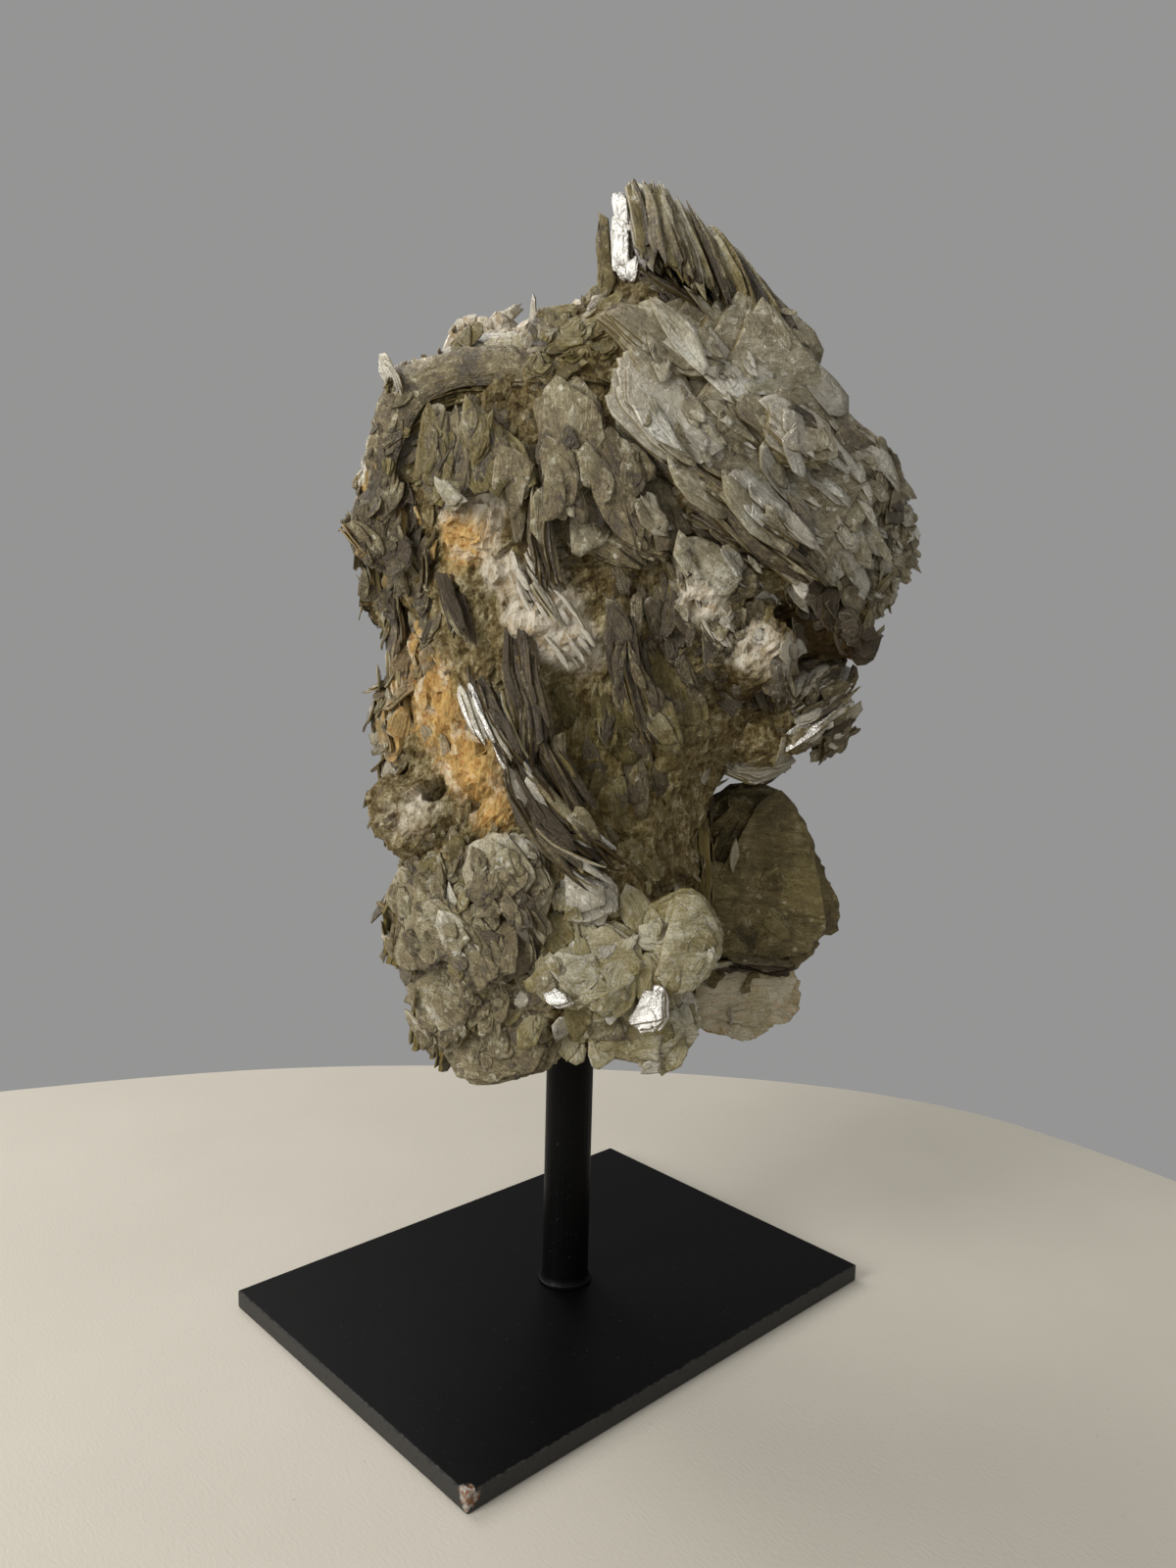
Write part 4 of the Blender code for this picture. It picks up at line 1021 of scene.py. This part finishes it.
def flake_batches(places, axes, length, width, looks, tilt, thin, rng):
    """One to three thin sheets at each place, one end lifted off the surface."""
    count = len(places)
    axes = turned(axes, 0, 2, tilt * np.where(rng.random(count) < 0.75, 1, -1))
    axes = turned(axes, 1, 2, rng.normal(0, 0.35, count) * tilt)
    layers = rng.choice(len(FLAKE_LAYERS), count, p=FLAKE_LAYERS) + 1
    thick = thin * (0.14 + 0.016 * length) * rng.uniform(0.6, 1.4, count)
    batches = []
    for layer in range(len(FLAKE_LAYERS)):
        on = layers > layer
        some = on.sum()
        size = np.stack((length[on], width[on]), -1) * 0.8 ** layer
        outline = shards(size[:, 0], size[:, 1], FLAKE_POINTS, FLAKE_SHARD, rng)
        slip = rng.normal(0, 0.08 if layer else 0, (some, 2)) * size / 2
        rise = thick[on] * (layer - 0.35)
        middle = places[on] + axes[on, 2] * rise[:, None]
        middle = middle + axes[on, 0] * slip[:, :1] + axes[on, 1] * slip[:, 1:]
        layer_axes = turned(axes[on], 0, 1, rng.normal(0, 6 * layer, some))
        batches.append(sheets(middle, layer_axes, outline, thick[on], looks[on], rng.uniform(0, 1, some),
                              bend=rng.normal(0, 0.02, some) * length[on],
                              curl=rng.normal(0, 0.02, some) * length[on], ripple=0.012 * length[on],
                              phase=rng.uniform(0, math.tau, some), rings=FLAKE_RINGS, tip_tone=0.12))
    return batches


def coat_batches(coat, surface, rng):
    """Small flakes on what shows round the coat's middle, clear of the crest, holes and bare places."""
    places, normals = sprinkled(surface, coat, 1 / 2.4, 0.22, 1.25, rng)
    across, height = zip(*CREST_LINE)
    at_crest = (places[:, 0] > across[0] - 3) & (places[:, 0] < across[1])
    free = ~(at_crest & (places[:, 2] > np.interp(places[:, 0], across, height)))
    for pit in PITS:
        free &= np.linalg.norm((places - np.array(pit.centre))[:, (0, 2)], axis=1) > 1.3 * pit.radius
    for middle, radius in BARE:
        free &= np.linalg.norm(places - np.array(middle), axis=1) > radius
    places, normals = places[free], normals[free]
    count = len(places)
    axes = directions(coat.turn + rng.normal(0, 7, count), coat.lift + rng.normal(0, 6, count),
                      coat.grain + rng.normal(0, coat.spread, count))
    axes = lean_on(axes, normals, coat.follow)
    low, high = coat.length
    length = low + (high - low) * rng.uniform(0, 1, count) ** 1.8
    length = np.minimum(length, np.maximum(1.6 * (places[:, 2] - LOWEST), 3))
    width = length * rng.uniform(*coat.width, count)
    names = likely_first(coat.looks, count, 1.3, rng)
    looks = tinted(finishes(names, rng, 0.11), places, 0.6)
    tilt = rng.uniform(*coat.tilt, count) * (low / length) ** 0.5
    return flake_batches(places, axes, length, width, looks, tilt, coat.thin, rng)


def back_coat(surface, rng):
    """Flakes on the sides, the back, the top and the underside, where the photo view doesn't reach."""
    turn = rng.uniform(60, 300, BACK_COAT_COUNT)
    lift = rng.uniform(-30, 60, BACK_COAT_COUNT)
    facing = directions(turn, lift, 0.0)[:, 2]
    target = core_points(rng.uniform(75, 262, BACK_COAT_COUNT), np.radians(turn))
    index, places, normals = ray_hits(surface, target + facing * 60, facing)
    near = np.linalg.norm(places - target[index], axis=1) < 26
    index, places, normals = index[near], places[near], normals[near]
    turn, lift, count = turn[index], lift[index], len(index)
    sway = 40 * np.sin(places[:, 2] / 21 + np.radians(turn) * 2)
    axes = lean_on(directions(turn, lift * 0.5, 95 + sway + rng.normal(0, 20, count)), normals, 0.55)
    length = 4 + 11 * rng.uniform(0, 1, count) ** 1.6
    width = length * rng.uniform(0.4, 0.75, count)
    looks = tinted(finishes(likely_first(BACK_LOOKS, count, 1.6, rng), rng), places, 0.7)
    return flake_batches(places, axes, length, width, looks, rng.uniform(3, 22, count), 0.9, rng)


def grain_batch(grains, surface, rng):
    """Small broken blocks, half sunk in the matrix."""
    places, normals = sprinkled(surface, grains, 0.4, 0.3, 1.2, rng)
    count = len(places)
    axes = directions(rng.uniform(0, 360, count), rng.uniform(-60, 60, count), rng.uniform(0, 360, count))
    axes = lean_on(axes, normals, 0.72)
    low, high = grains.size
    length = low + (high - low) * rng.uniform(0, 1, count) ** 2
    outline = shards(length, length * rng.uniform(0.55, 0.95, count), GRAIN_SHARD.corners, GRAIN_SHARD, rng)
    thick = length * rng.uniform(0.35, 0.7, count)
    looks = tinted(finishes([grains.look] * count, rng), places, 0.6)
    blocks = sheets(places - axes[:, 2] * thick[:, None] * 0.6, axes, outline, thick, looks,
                    rng.uniform(0, 1, count), rings=GRAIN_RINGS)
    return blocks._replace(slots=0 * blocks.slots, smooth=blocks.smooth & False)


# --- meshes ------------------------------------------------------------------------------

def to_frame(points):
    """From the specimen's front view in millimetres to the frame in metres.

    What would leave the CAD box is drawn in smoothly over the last MARGIN of it.
    """
    placed = warped(points) @ TURN.T * MM
    low, high = (np.array(corner) for corner in CAD_BOX)
    over = np.maximum(placed - (high - MARGIN), 0)
    under = np.maximum(low + MARGIN - placed, 0)
    return placed - over + MARGIN * over / (MARGIN + over) + under - MARGIN * under / (MARGIN + under)


def added(name, data):
    """A new object in the scene."""
    thing = bpy.data.objects.new(name, data)
    bpy.context.scene.collection.objects.link(thing)
    return thing


def add_piece(name, batch, materials):
    """A batch as a piece of the specimen that stands for its solid."""
    data = bpy.data.meshes.new(name)
    count, faces = len(batch.points), len(batch.triangles)
    data.vertices.add(count)
    data.loops.add(faces * 3)
    data.polygons.add(faces)
    data.vertices.foreach_set("co", to_frame(batch.points).astype(np.float32).ravel())
    data.loops.foreach_set("vertex_index", batch.triangles.astype(np.int32).ravel())
    data.polygons.foreach_set("loop_start", np.arange(0, faces * 3, 3, dtype=np.int32))
    data.polygons.foreach_set("material_index", batch.slots.astype(np.int32))
    data.polygons.foreach_set("use_smooth", batch.smooth.astype(bool))
    data.update(calc_edges=True)
    fields = {"place": batch.points, "grain": batch.grain, "look_a": batch.look[:, :3],
              "look_b": batch.look[:, 3:], "edge": np.column_stack((batch.edge, np.zeros(count)))}
    for field, values in fields.items():
        attribute = data.attributes.new(field, "FLOAT_VECTOR", "POINT")
        attribute.data.foreach_set("vector", values.astype(np.float32).ravel())
    for material in materials:
        data.materials.append(material)
    piece = added(name, data)
    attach(piece, "root")
    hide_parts(SPECIMEN)


# --- materials ---------------------------------------------------------------------------

class Graph:
    """Short calls for building the nodes of a new material, or of the world handed in."""

    def __init__(self, name, world=None):
        self.owner = world or bpy.data.materials.new(name)
        self.owner.use_nodes = True
        self.tree = self.owner.node_tree
        self.shader = self.tree.nodes["Background" if world else "Principled BSDF"]

    def node(self, kind, inputs=(), **settings):
        made = self.tree.nodes.new("ShaderNode" + kind)
        for setting, value in settings.items():
            setattr(made, setting, value)
        for socket, value in dict(inputs).items():
            self.put(made.inputs[socket], value)
        return made

    def put(self, socket, value):
        if isinstance(value, bpy.types.NodeSocket):
            self.tree.links.new(value, socket)
        elif isinstance(value, tuple) and socket.type == "RGBA":
            socket.default_value = (*value, 1)
        else:
            socket.default_value = value

    def attribute(self, name):
        return self.node("Attribute", attribute_name=name).outputs["Vector"]

    def split(self, vector):
        return self.node("SeparateXYZ", {0: vector}).outputs[:3]

    def math(self, operation, first, second=0.0, clamp=False):
        return self.node("Math", {0: first, 1: second}, operation=operation, use_clamp=clamp).outputs[0]

    def plus(self, first, second):
        return self.math("ADD", first, second)

    def times(self, first, second):
        return self.math("MULTIPLY", first, second)

    def rest(self, share, clamp=False):
        return self.math("SUBTRACT", 1.0, share, clamp)

    def total(self, start, *terms):
        """start plus each (value, middle, amount): amount times how far the value is from its middle."""
        for value, middle, amount in terms:
            start = self.plus(start, self.times(self.math("SUBTRACT", value, middle), amount))
        return start

    def vector(self, operation, *values, output="Vector"):
        return self.node("VectorMath", enumerate(values), operation=operation).outputs[output]

    def noise(self, vector, scale, detail=3.0, roughness=0.55, distortion=0.0, stretch=None, output=0):
        """Cloudy noise. stretch scales the vector's three directions first."""
        if stretch:
            vector = self.vector("MULTIPLY", vector, stretch)
        inputs = {"Vector": vector, "Scale": scale, "Detail": detail, "Roughness": roughness,
                  "Distortion": distortion}
        return self.node("TexNoise", inputs).outputs[output]

    def cells(self, vector, scale, feature="F1", output="Distance"):
        return self.node("TexVoronoi", {"Vector": vector, "Scale": scale}, feature=feature).outputs[output]

    def between(self, value, low, high):
        """0 below low, 1 above high, smooth between."""
        return self.node("MapRange", {"Value": value, "From Min": low, "From Max": high},
                         interpolation_type="SMOOTHSTEP").outputs[0]

    def mix(self, factor, first, second, blend="MIX"):
        return self.node("Mix", {"Factor": factor, 6: first, 7: second}, data_type="RGBA",
                         blend_type=blend).outputs[2]

    def ramp(self, factor, stops):
        made = self.node("ValToRGB", {"Fac": factor})
        elements = made.color_ramp.elements
        while len(elements) < len(stops):
            elements.new(0.5)
        for element, (at, colour) in zip(elements, stops):
            element.position = at
            element.color = (*colour, 1)
        return made.outputs["Color"]

    def bump(self, height, distance, strength, **normal):
        inputs = {"Height": height, "Distance": distance * MM, "Strength": strength, **normal}
        return self.node("Bump", inputs).outputs[0]

    def facets(self, vector, tilt):
        """The surface's normal, tilted a little and differently in each cell."""
        lean = self.vector("SUBTRACT", self.cells(vector, 1.0, output="Color"), (0.5, 0.5, 0.5))
        lean = self.vector("MULTIPLY", lean, (tilt,) * 3)
        normal = self.node("NewGeometry").outputs["Normal"]
        return self.vector("NORMALIZE", self.vector("ADD", normal, lean))

    def finish(self, **inputs):
        for socket, value in inputs.items():
            self.put(self.shader.inputs[socket.replace("_", " ")], value)
        return self.owner


def looks_of(g):
    """The finish values that each point carries, in the order of KINDS."""
    return (*g.split(g.attribute("look_a")), *g.split(g.attribute("look_b")))


def coloured(g, base, place, stain, white, dark, green):
    """The mineral's stains over its base colour, patchy along their borders."""
    patch = g.noise(place, 0.16, 5, 0.6)
    fine = g.noise(place, 0.9, 4, 0.6)
    border = g.total(0.0, (patch, 0.5, 0.9), (fine, 0.5, 0.5))
    base = g.mix(g.times(green, 0.75), base, OLIVE)
    colour = g.mix(g.between(g.plus(white, border), 0.3, 0.75), base, WHITE)
    orange = g.mix(g.between(fine, 0.48, 0.72), g.mix(g.between(patch, 0.5, 0.62), HONEY, CREAM), RUST)
    colour = g.mix(g.between(g.plus(stain, border), 0.35, 1.05), colour, orange)
    return g.mix(g.between(g.plus(dark, border), 0.2, 0.95), colour, UMBER)


def painted_crevice_shade(g, colour):
    """Painted shade: the colour darkened and browned where the surface is hemmed in by others."""
    open_share = g.node("AmbientOcclusion", {"Distance": CREVICE_SHADE_REACH * MM}, samples=4).outputs["AO"]
    shaded_share = g.rest(g.between(open_share, -0.05, 0.5))
    return g.mix(shaded_share, colour, g.mix(1.0, colour, CREVICE_SHADE, "MULTIPLY"))


def glazed(g, colour, rough, relief, dark, coat, **settings):
    """The shader of a mineral: glossy but where it is dark, with painted shade in its crevices and light
    that sinks in a little.
    """
    gloss = g.rest(g.times(dark, 0.85), clamp=True)
    return g.finish(Base_Color=painted_crevice_shade(g, colour), Roughness=rough, Normal=relief, Coat_Normal=relief,
                    Coat_Weight=g.times(gloss, coat), Specular_IOR_Level=0.22, Specular_Tint=AMBER,
                    Subsurface_Radius=SOFT, **settings)


def mica_face():
    """Cleaved faces: pearly and cloudy, streaked along the grain, with hairlines and fine cracks."""
    g = Graph("mica_face")
    place, grain = g.attribute("place"), g.attribute("grain")
    tone, stain, white, dark, green, glint = looks_of(g)
    rim, chance, _ = g.split(g.attribute("edge"))
    cloud = g.noise(place, 0.085, 5, 0.62, 0.6)
    patch = g.noise(place, 0.4, 6, 0.7, 0.4)
    speck = g.noise(place, 2.3, 3, 0.7)
    streak = g.noise(grain, 1.0, 6, 0.68, 0.3, (0.10, 0.85, 0.85))
    fibre = g.noise(grain, 1.0, 3, 0.6, 0.3, (0.13, 3.0, 3.0))
    hair = g.between(g.noise(grain, 1.0, 3, 0.6, 0.5, (0.16, 2.3, 2.3)), 0.60, 0.70)
    # sparkle: a few tiny cells painted paler as glints, and also raised and made smoother
    sparkle = g.between(g.split(g.cells(place, 0.95, output="Color"))[0], 0.955, 0.965)
    web = g.vector("ADD", grain, g.noise(place, 0.5, 3, 0.5, output="Color"))
    crack = g.cells(g.vector("MULTIPLY", web, (0.13, 0.24, 0.24)), 1.0, "DISTANCE_TO_EDGE")
    crack = g.times(g.rest(g.between(crack, 0.0, 0.035)), g.between(patch, 0.45, 0.6))

    vary = g.total(0.0, (cloud, 0.5, 1.5), (patch, 0.5, 1.5), (speck, 0.5, 1.2), (streak, 0.5, 0.8),
                   (fibre, 0.5, 0.3), (hair, 0.0, 0.2), (crack, 0.0, 0.3), (sparkle, 0.0, 0.35))
    calm = g.total(1.2, (tone, 0.0, -0.75))
    level = g.plus(tone, g.times(vary, calm))
    base = g.ramp(level, MICA_TONES)
    cool = g.times(g.between(g.noise(place, 0.07, 3), 0.48, 0.6), g.between(level, 0.35, 0.8))
    base = g.mix(cool, base, g.mix(1.0, base, COOL, "MULTIPLY"))
    seep = g.between(g.noise(grain, 1.0, 5, 0.6, 0.8, (0.05, 0.30, 0.30)), 0.54, 0.70)
    base = g.mix(g.times(seep, g.times(calm, 0.75)), base, SEEP)
    colour = coloured(g, base, place, stain, white, dark, green)
    line = g.times(g.between(rim, 0.7, 1.0), g.between(g.total(patch, (chance, 0.5, 0.3)), 0.52, 0.66))
    colour = g.mix(g.times(line, 0.4), colour, BRIGHT_RIM)
    colour = g.mix(g.times(glint, 0.9), colour, SILVER)

    height = g.total(0.0, (streak, 0.5, 0.7), (hair, 0.0, 0.25), (crack, 0.0, 0.3), (speck, 0.5, 0.35),
                     (patch, 0.5, 0.6), (fibre, 0.5, 0.3), (sparkle, 0.0, 0.2))
    height = g.times(height, g.total(1.0, (glint, 0.0, -0.45)))
    facets = g.facets(g.vector("MULTIPLY", web, (0.12, 0.34, 0.34)), 0.22)
    relief = g.bump(height, 0.8, 1.2, Normal=facets)
    rough = g.total(0.33, (patch, 0.5, 0.6), (dark, 0.0, -0.12), (glint, 0.0, -0.06), (sparkle, 0.0, -0.15))
    return glazed(g, colour, rough, relief, dark, 0.9, IOR=1.58, Metallic=g.times(glint, 0.95),
                  Coat_Roughness=0.17, Subsurface_Weight=0.15, Subsurface_Scale=2 * MM)


def mica_edge():
    """Broken edges of a book: fine dark and pale laminae."""
    g = Graph("mica_edge")
    grain = g.attribute("grain")
    tone, stain, white, dark, green, _ = looks_of(g)
    laminae = g.noise(grain, 1.0, 4, 0.7, 0.3, (0.1, 0.1, 3.2))
    level = g.total(g.times(tone, 0.75), (laminae, 0.52, 1.6))
    stain, white = g.times(stain, 0.7), g.times(white, 0.6)
    colour = coloured(g, g.ramp(level, MICA_TONES), grain, stain, white, dark, green)
    return g.finish(Base_Color=painted_crevice_shade(g, colour), Roughness=0.38, IOR=1.58, Specular_IOR_Level=0.3,
                    Specular_Tint=AMBER, Normal=g.bump(laminae, 0.3, 0.8))


def feldspar():
    """Cream matrix: frosted and streaky, honey where it is stained, with clefts and flecks of mica."""
    g = Graph("feldspar_matrix")
    place = g.attribute("place")
    tone, stain, white, dark, green, _ = looks_of(g)
    block = g.split(g.cells(place, 0.45, output="Color"))[0]
    cleft = g.between(g.cells(place, 0.22, "DISTANCE_TO_EDGE"), 0.0, 0.3)
    patch = g.noise(place, 0.28, 6, 0.7, 0.6)
    fine = g.noise(place, 1.7, 5, 0.65)
    streak = g.noise(place, 1.0, 6, 0.68, 0.8, (0.9, 0.9, 0.2))
    level = g.total(tone, (block, 0.5, 0.25), (patch, 0.5, 1.3), (fine, 0.5, 1.1), (streak, 0.5, 0.7))
    colour = coloured(g, g.ramp(level, MICA_TONES), place, stain, white, dark, green)
    shade = g.between(g.total(0.5, (patch, 0.5, 1.0), (streak, 0.5, 1.0)), 0.3, 0.62)
    colour = g.mix(1.0, colour, g.mix(shade, SHADED, (1.0, 1.0, 1.0)), "MULTIPLY")
    speck = g.between(g.noise(place, 1.1, 3, 0.6), 0.60, 0.68)
    colour = g.mix(g.times(speck, 0.55), colour, UMBER)
    height = g.total(0.0, (cleft, 0.0, 0.15), (fine, 0.5, 0.6), (streak, 0.5, 0.9), (patch, 0.5, 1.2))
    facets = g.facets(g.vector("MULTIPLY", place, (0.55, 0.55, 0.4)), 0.45)
    relief = g.bump(height, 0.6, 1.0, Normal=facets)
    rough = g.total(0.42, (fine, 0.5, 0.5))
    return glazed(g, colour, rough, relief, dark, 0.3, IOR=1.53, Coat_Roughness=0.16,
                  Subsurface_Weight=0.2, Subsurface_Scale=2.5 * MM)


def painted_steel(name, worn=False):
    """Black satin paint with dust. A worn plate is grey along its edges, with a rusty chip at a corner."""
    g = Graph(name)
    place = g.node("TexCoord").outputs["Object"]
    cloud = g.noise(place, 45, 4, 0.6)
    grit = g.noise(place, 900, 3, 0.6)
    dust = g.between(g.noise(place, 1500, 2, 0.5), 0.70, 0.78)
    colour = g.mix(cloud, (0.0008, 0.0008, 0.0009), (0.002, 0.002, 0.0022))
    colour = g.mix(g.times(dust, 0.35), colour, (0.12, 0.115, 0.105))
    rough = g.plus(0.36, g.times(cloud, 0.16))
    if worn:
        x, y, _ = g.split(place)
        inside = [g.math("SUBTRACT", half, g.math("ABSOLUTE", at)) for half, at in zip(PLATE_HALF, (x, y))]
        to_edge = g.plus(g.math("MINIMUM", *inside), g.times(grit, 0.0012))
        wear = g.rest(g.between(to_edge, 0.0006, 0.0012))
        colour = g.mix(g.times(wear, 0.3), colour, (0.13, 0.125, 0.115))
        offset = g.vector("DISTANCE", place, PLATE_CHIP, output="Value")
        bare = g.rest(g.between(g.plus(offset, g.times(g.noise(place, 700, 3), 0.004)), 0.0042, 0.0050))
        chip = g.mix(g.between(grit, 0.4, 0.6), (0.16, 0.07, 0.03), (0.32, 0.30, 0.27))
        colour = g.mix(bare, colour, chip)
    relief = g.bump(grit, 0.02, 0.35)
    return g.finish(Base_Color=colour, Roughness=rough, Specular_IOR_Level=0.1, Normal=relief)


def pale_cloth():
    """The table top: off-white felt with a fine thread and a few flecks."""
    g = Graph("pale_floor")
    place = g.node("TexCoord").outputs["Object"]
    cloud = g.noise(place, 14, 4)
    thread = g.noise(place, 1500, 2, stretch=(1.0, 0.35, 1.0))
    fleck = g.between(g.noise(place, 420, 2), 0.74, 0.78)
    colour = g.mix(cloud, (0.46, 0.43, 0.37), (0.54, 0.505, 0.44))
    colour = g.mix(g.times(fleck, 0.4), colour, (0.25, 0.2, 0.14))
    return g.finish(Base_Color=colour, Roughness=0.9, Normal=g.bump(thread, 0.12, 0.6))


# --- the stage ---------------------------------------------------------------------------

def make_floor():
    """A pale table top with rounded corners. Its far edge shows behind the stand, below the backdrop."""
    outline = cut_corners(FLOOR_CORNERS, 3)
    flat = np.column_stack((outline, np.zeros(len(outline)))) @ TURN.T * MM
    mesh = bmesh.new()
    face = mesh.faces.new([mesh.verts.new(point) for point in flat])
    lower = bmesh.ops.extrude_face_region(mesh, geom=[face])["geom"]
    moved = [item for item in lower if isinstance(item, bmesh.types.BMVert)]
    bmesh.ops.translate(mesh, verts=moved, vec=(0, 0, -FLOOR_DEEP * MM))
    bmesh.ops.recalc_face_normals(mesh, faces=mesh.faces)
    data = bpy.data.meshes.new("floor")
    mesh.to_mesh(data)
    mesh.free()
    data.materials.append(pale_cloth())
    floor = added("floor", data)


def add_area(name, place, size, power, colour):
    """A soft light at a place in the front view, aimed at the specimen's middle."""
    light = bpy.data.lights.new(name, "AREA")
    light.shape = "RECTANGLE"
    light.size, light.size_y = size[0] * MM, size[1] * MM
    light.energy = power
    light.color = colour
    thing = added(name, light)
    start, end = (Vector(TURN @ np.array(point)) * MM for point in (place, MIDDLE))
    thing.location = start
    thing.rotation_euler = (end - start).to_track_quat("-Z", "Y").to_euler()


def make_world():
    """A grey backdrop behind the specimen, and soft light that is strongest from the window's side."""
    world = bpy.data.worlds.new("plain backdrop")
    bpy.context.scene.world = world
    g = Graph("backdrop", world)
    way = g.node("TexCoord").outputs["Generated"]
    seen = g.node("LightPath").outputs["Is Camera Ray"]
    along = g.vector("DOT_PRODUCT", way, tuple(TURN @ np.array(WINDOW_WAY)), output="Value")
    g.finish(Color=g.mix(seen, g.ramp(g.plus(0.5, g.times(along, 0.5)), AMBIENT), BACKDROP))


def make_camera():
    pitch, roll = math.radians(CAMERA_PITCH), math.radians(CAMERA_ROLL)
    forward = np.array((0, math.cos(pitch), -math.sin(pitch)))
    right = np.array((1.0, 0, 0))
    up = np.cross(right, forward)
    side = right * math.cos(roll) + up * math.sin(roll)
    head = up * math.cos(roll) - right * math.sin(roll)
    lens = bpy.data.cameras.new("camera")
    lens.sensor_fit = "VERTICAL"
    lens.sensor_height = SENSOR
    lens.lens = CAMERA_LENS
    lens.clip_start = 0.01
    camera = added("camera", lens)
    columns = [TURN @ axis for axis in (side, head, -forward)]
    matrix = Matrix([[*row] for row in np.array(columns).T]).to_4x4()
    matrix.translation = Vector(TURN @ np.array(CAMERA_AT)) * MM
    camera.matrix_world = matrix
    bpy.context.scene.camera = camera


# --- all of it ---------------------------------------------------------------------------

def make_specimen():
    """All pieces. Each random draw follows the one before, so the order of the lines matters."""
    rng = np.random.default_rng(SEED)
    faces = [mica_face(), mica_edge()]
    plates = {plate.name: plate_batch(plate, rng) for plate in PLATES}
    books = [(book.centre[2] >= HIGH_FROM, book_batch(book, rng)) for book in BOOKS]
    sweeps = [sweep_batch(sweep, rng) for sweep in SWEEPS]
    back = joined([book_batch(book, rng) for book in back_books(rng)])
    high = joined([book for is_high, book in books if is_high] + [crest_batch(rng), plates.pop("head")])
    low = joined([book for is_high, book in books if not is_high] + list(plates.values()))
    edges = joined(sweeps + [sheaf_batch(sheaf, rng) for sheaf in SHEAVES])
    matrix = matrix_batch()
    surface = surface_of(joined([high, low, edges, back, matrix]))
    front_flakes = joined([flake for coat in COATS for flake in coat_batches(coat, surface, rng)])
    back_flakes = joined(back_coat(surface, rng))
    ground = surface_of(matrix)
    grains = [grain_batch(grains, ground, rng) for grains in GRAINS]
    add_piece("feldspar_matrix", joined([matrix] + grains), [feldspar()])
    add_piece("mica_books_high", stained(high, BOOK_TINT), faces)
    add_piece("mica_books_low", stained(low, BOOK_TINT), faces)
    add_piece("mica_sheets_on_edge", edges, faces)
    add_piece("mica_books_back", back, faces)
    add_piece("mica_flakes_front", front_flakes, faces)
    add_piece("mica_flakes_back", back_flakes, faces)


def paint_stand():
    for name, paint in (("base_plate", painted_steel("black_plate", worn=True)),
                        ("post", painted_steel("black_post"))):
        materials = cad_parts[name].data.materials
        materials.clear()
        materials.append(paint)


def main():
    make_camera()
    make_world()
    for light in LIGHTS:
        add_area(*light)
    make_floor()
    paint_stand()
    make_specimen()
    bpy.context.scene.view_settings.view_transform = "Standard"
    bpy.context.view_layer.update()


main()
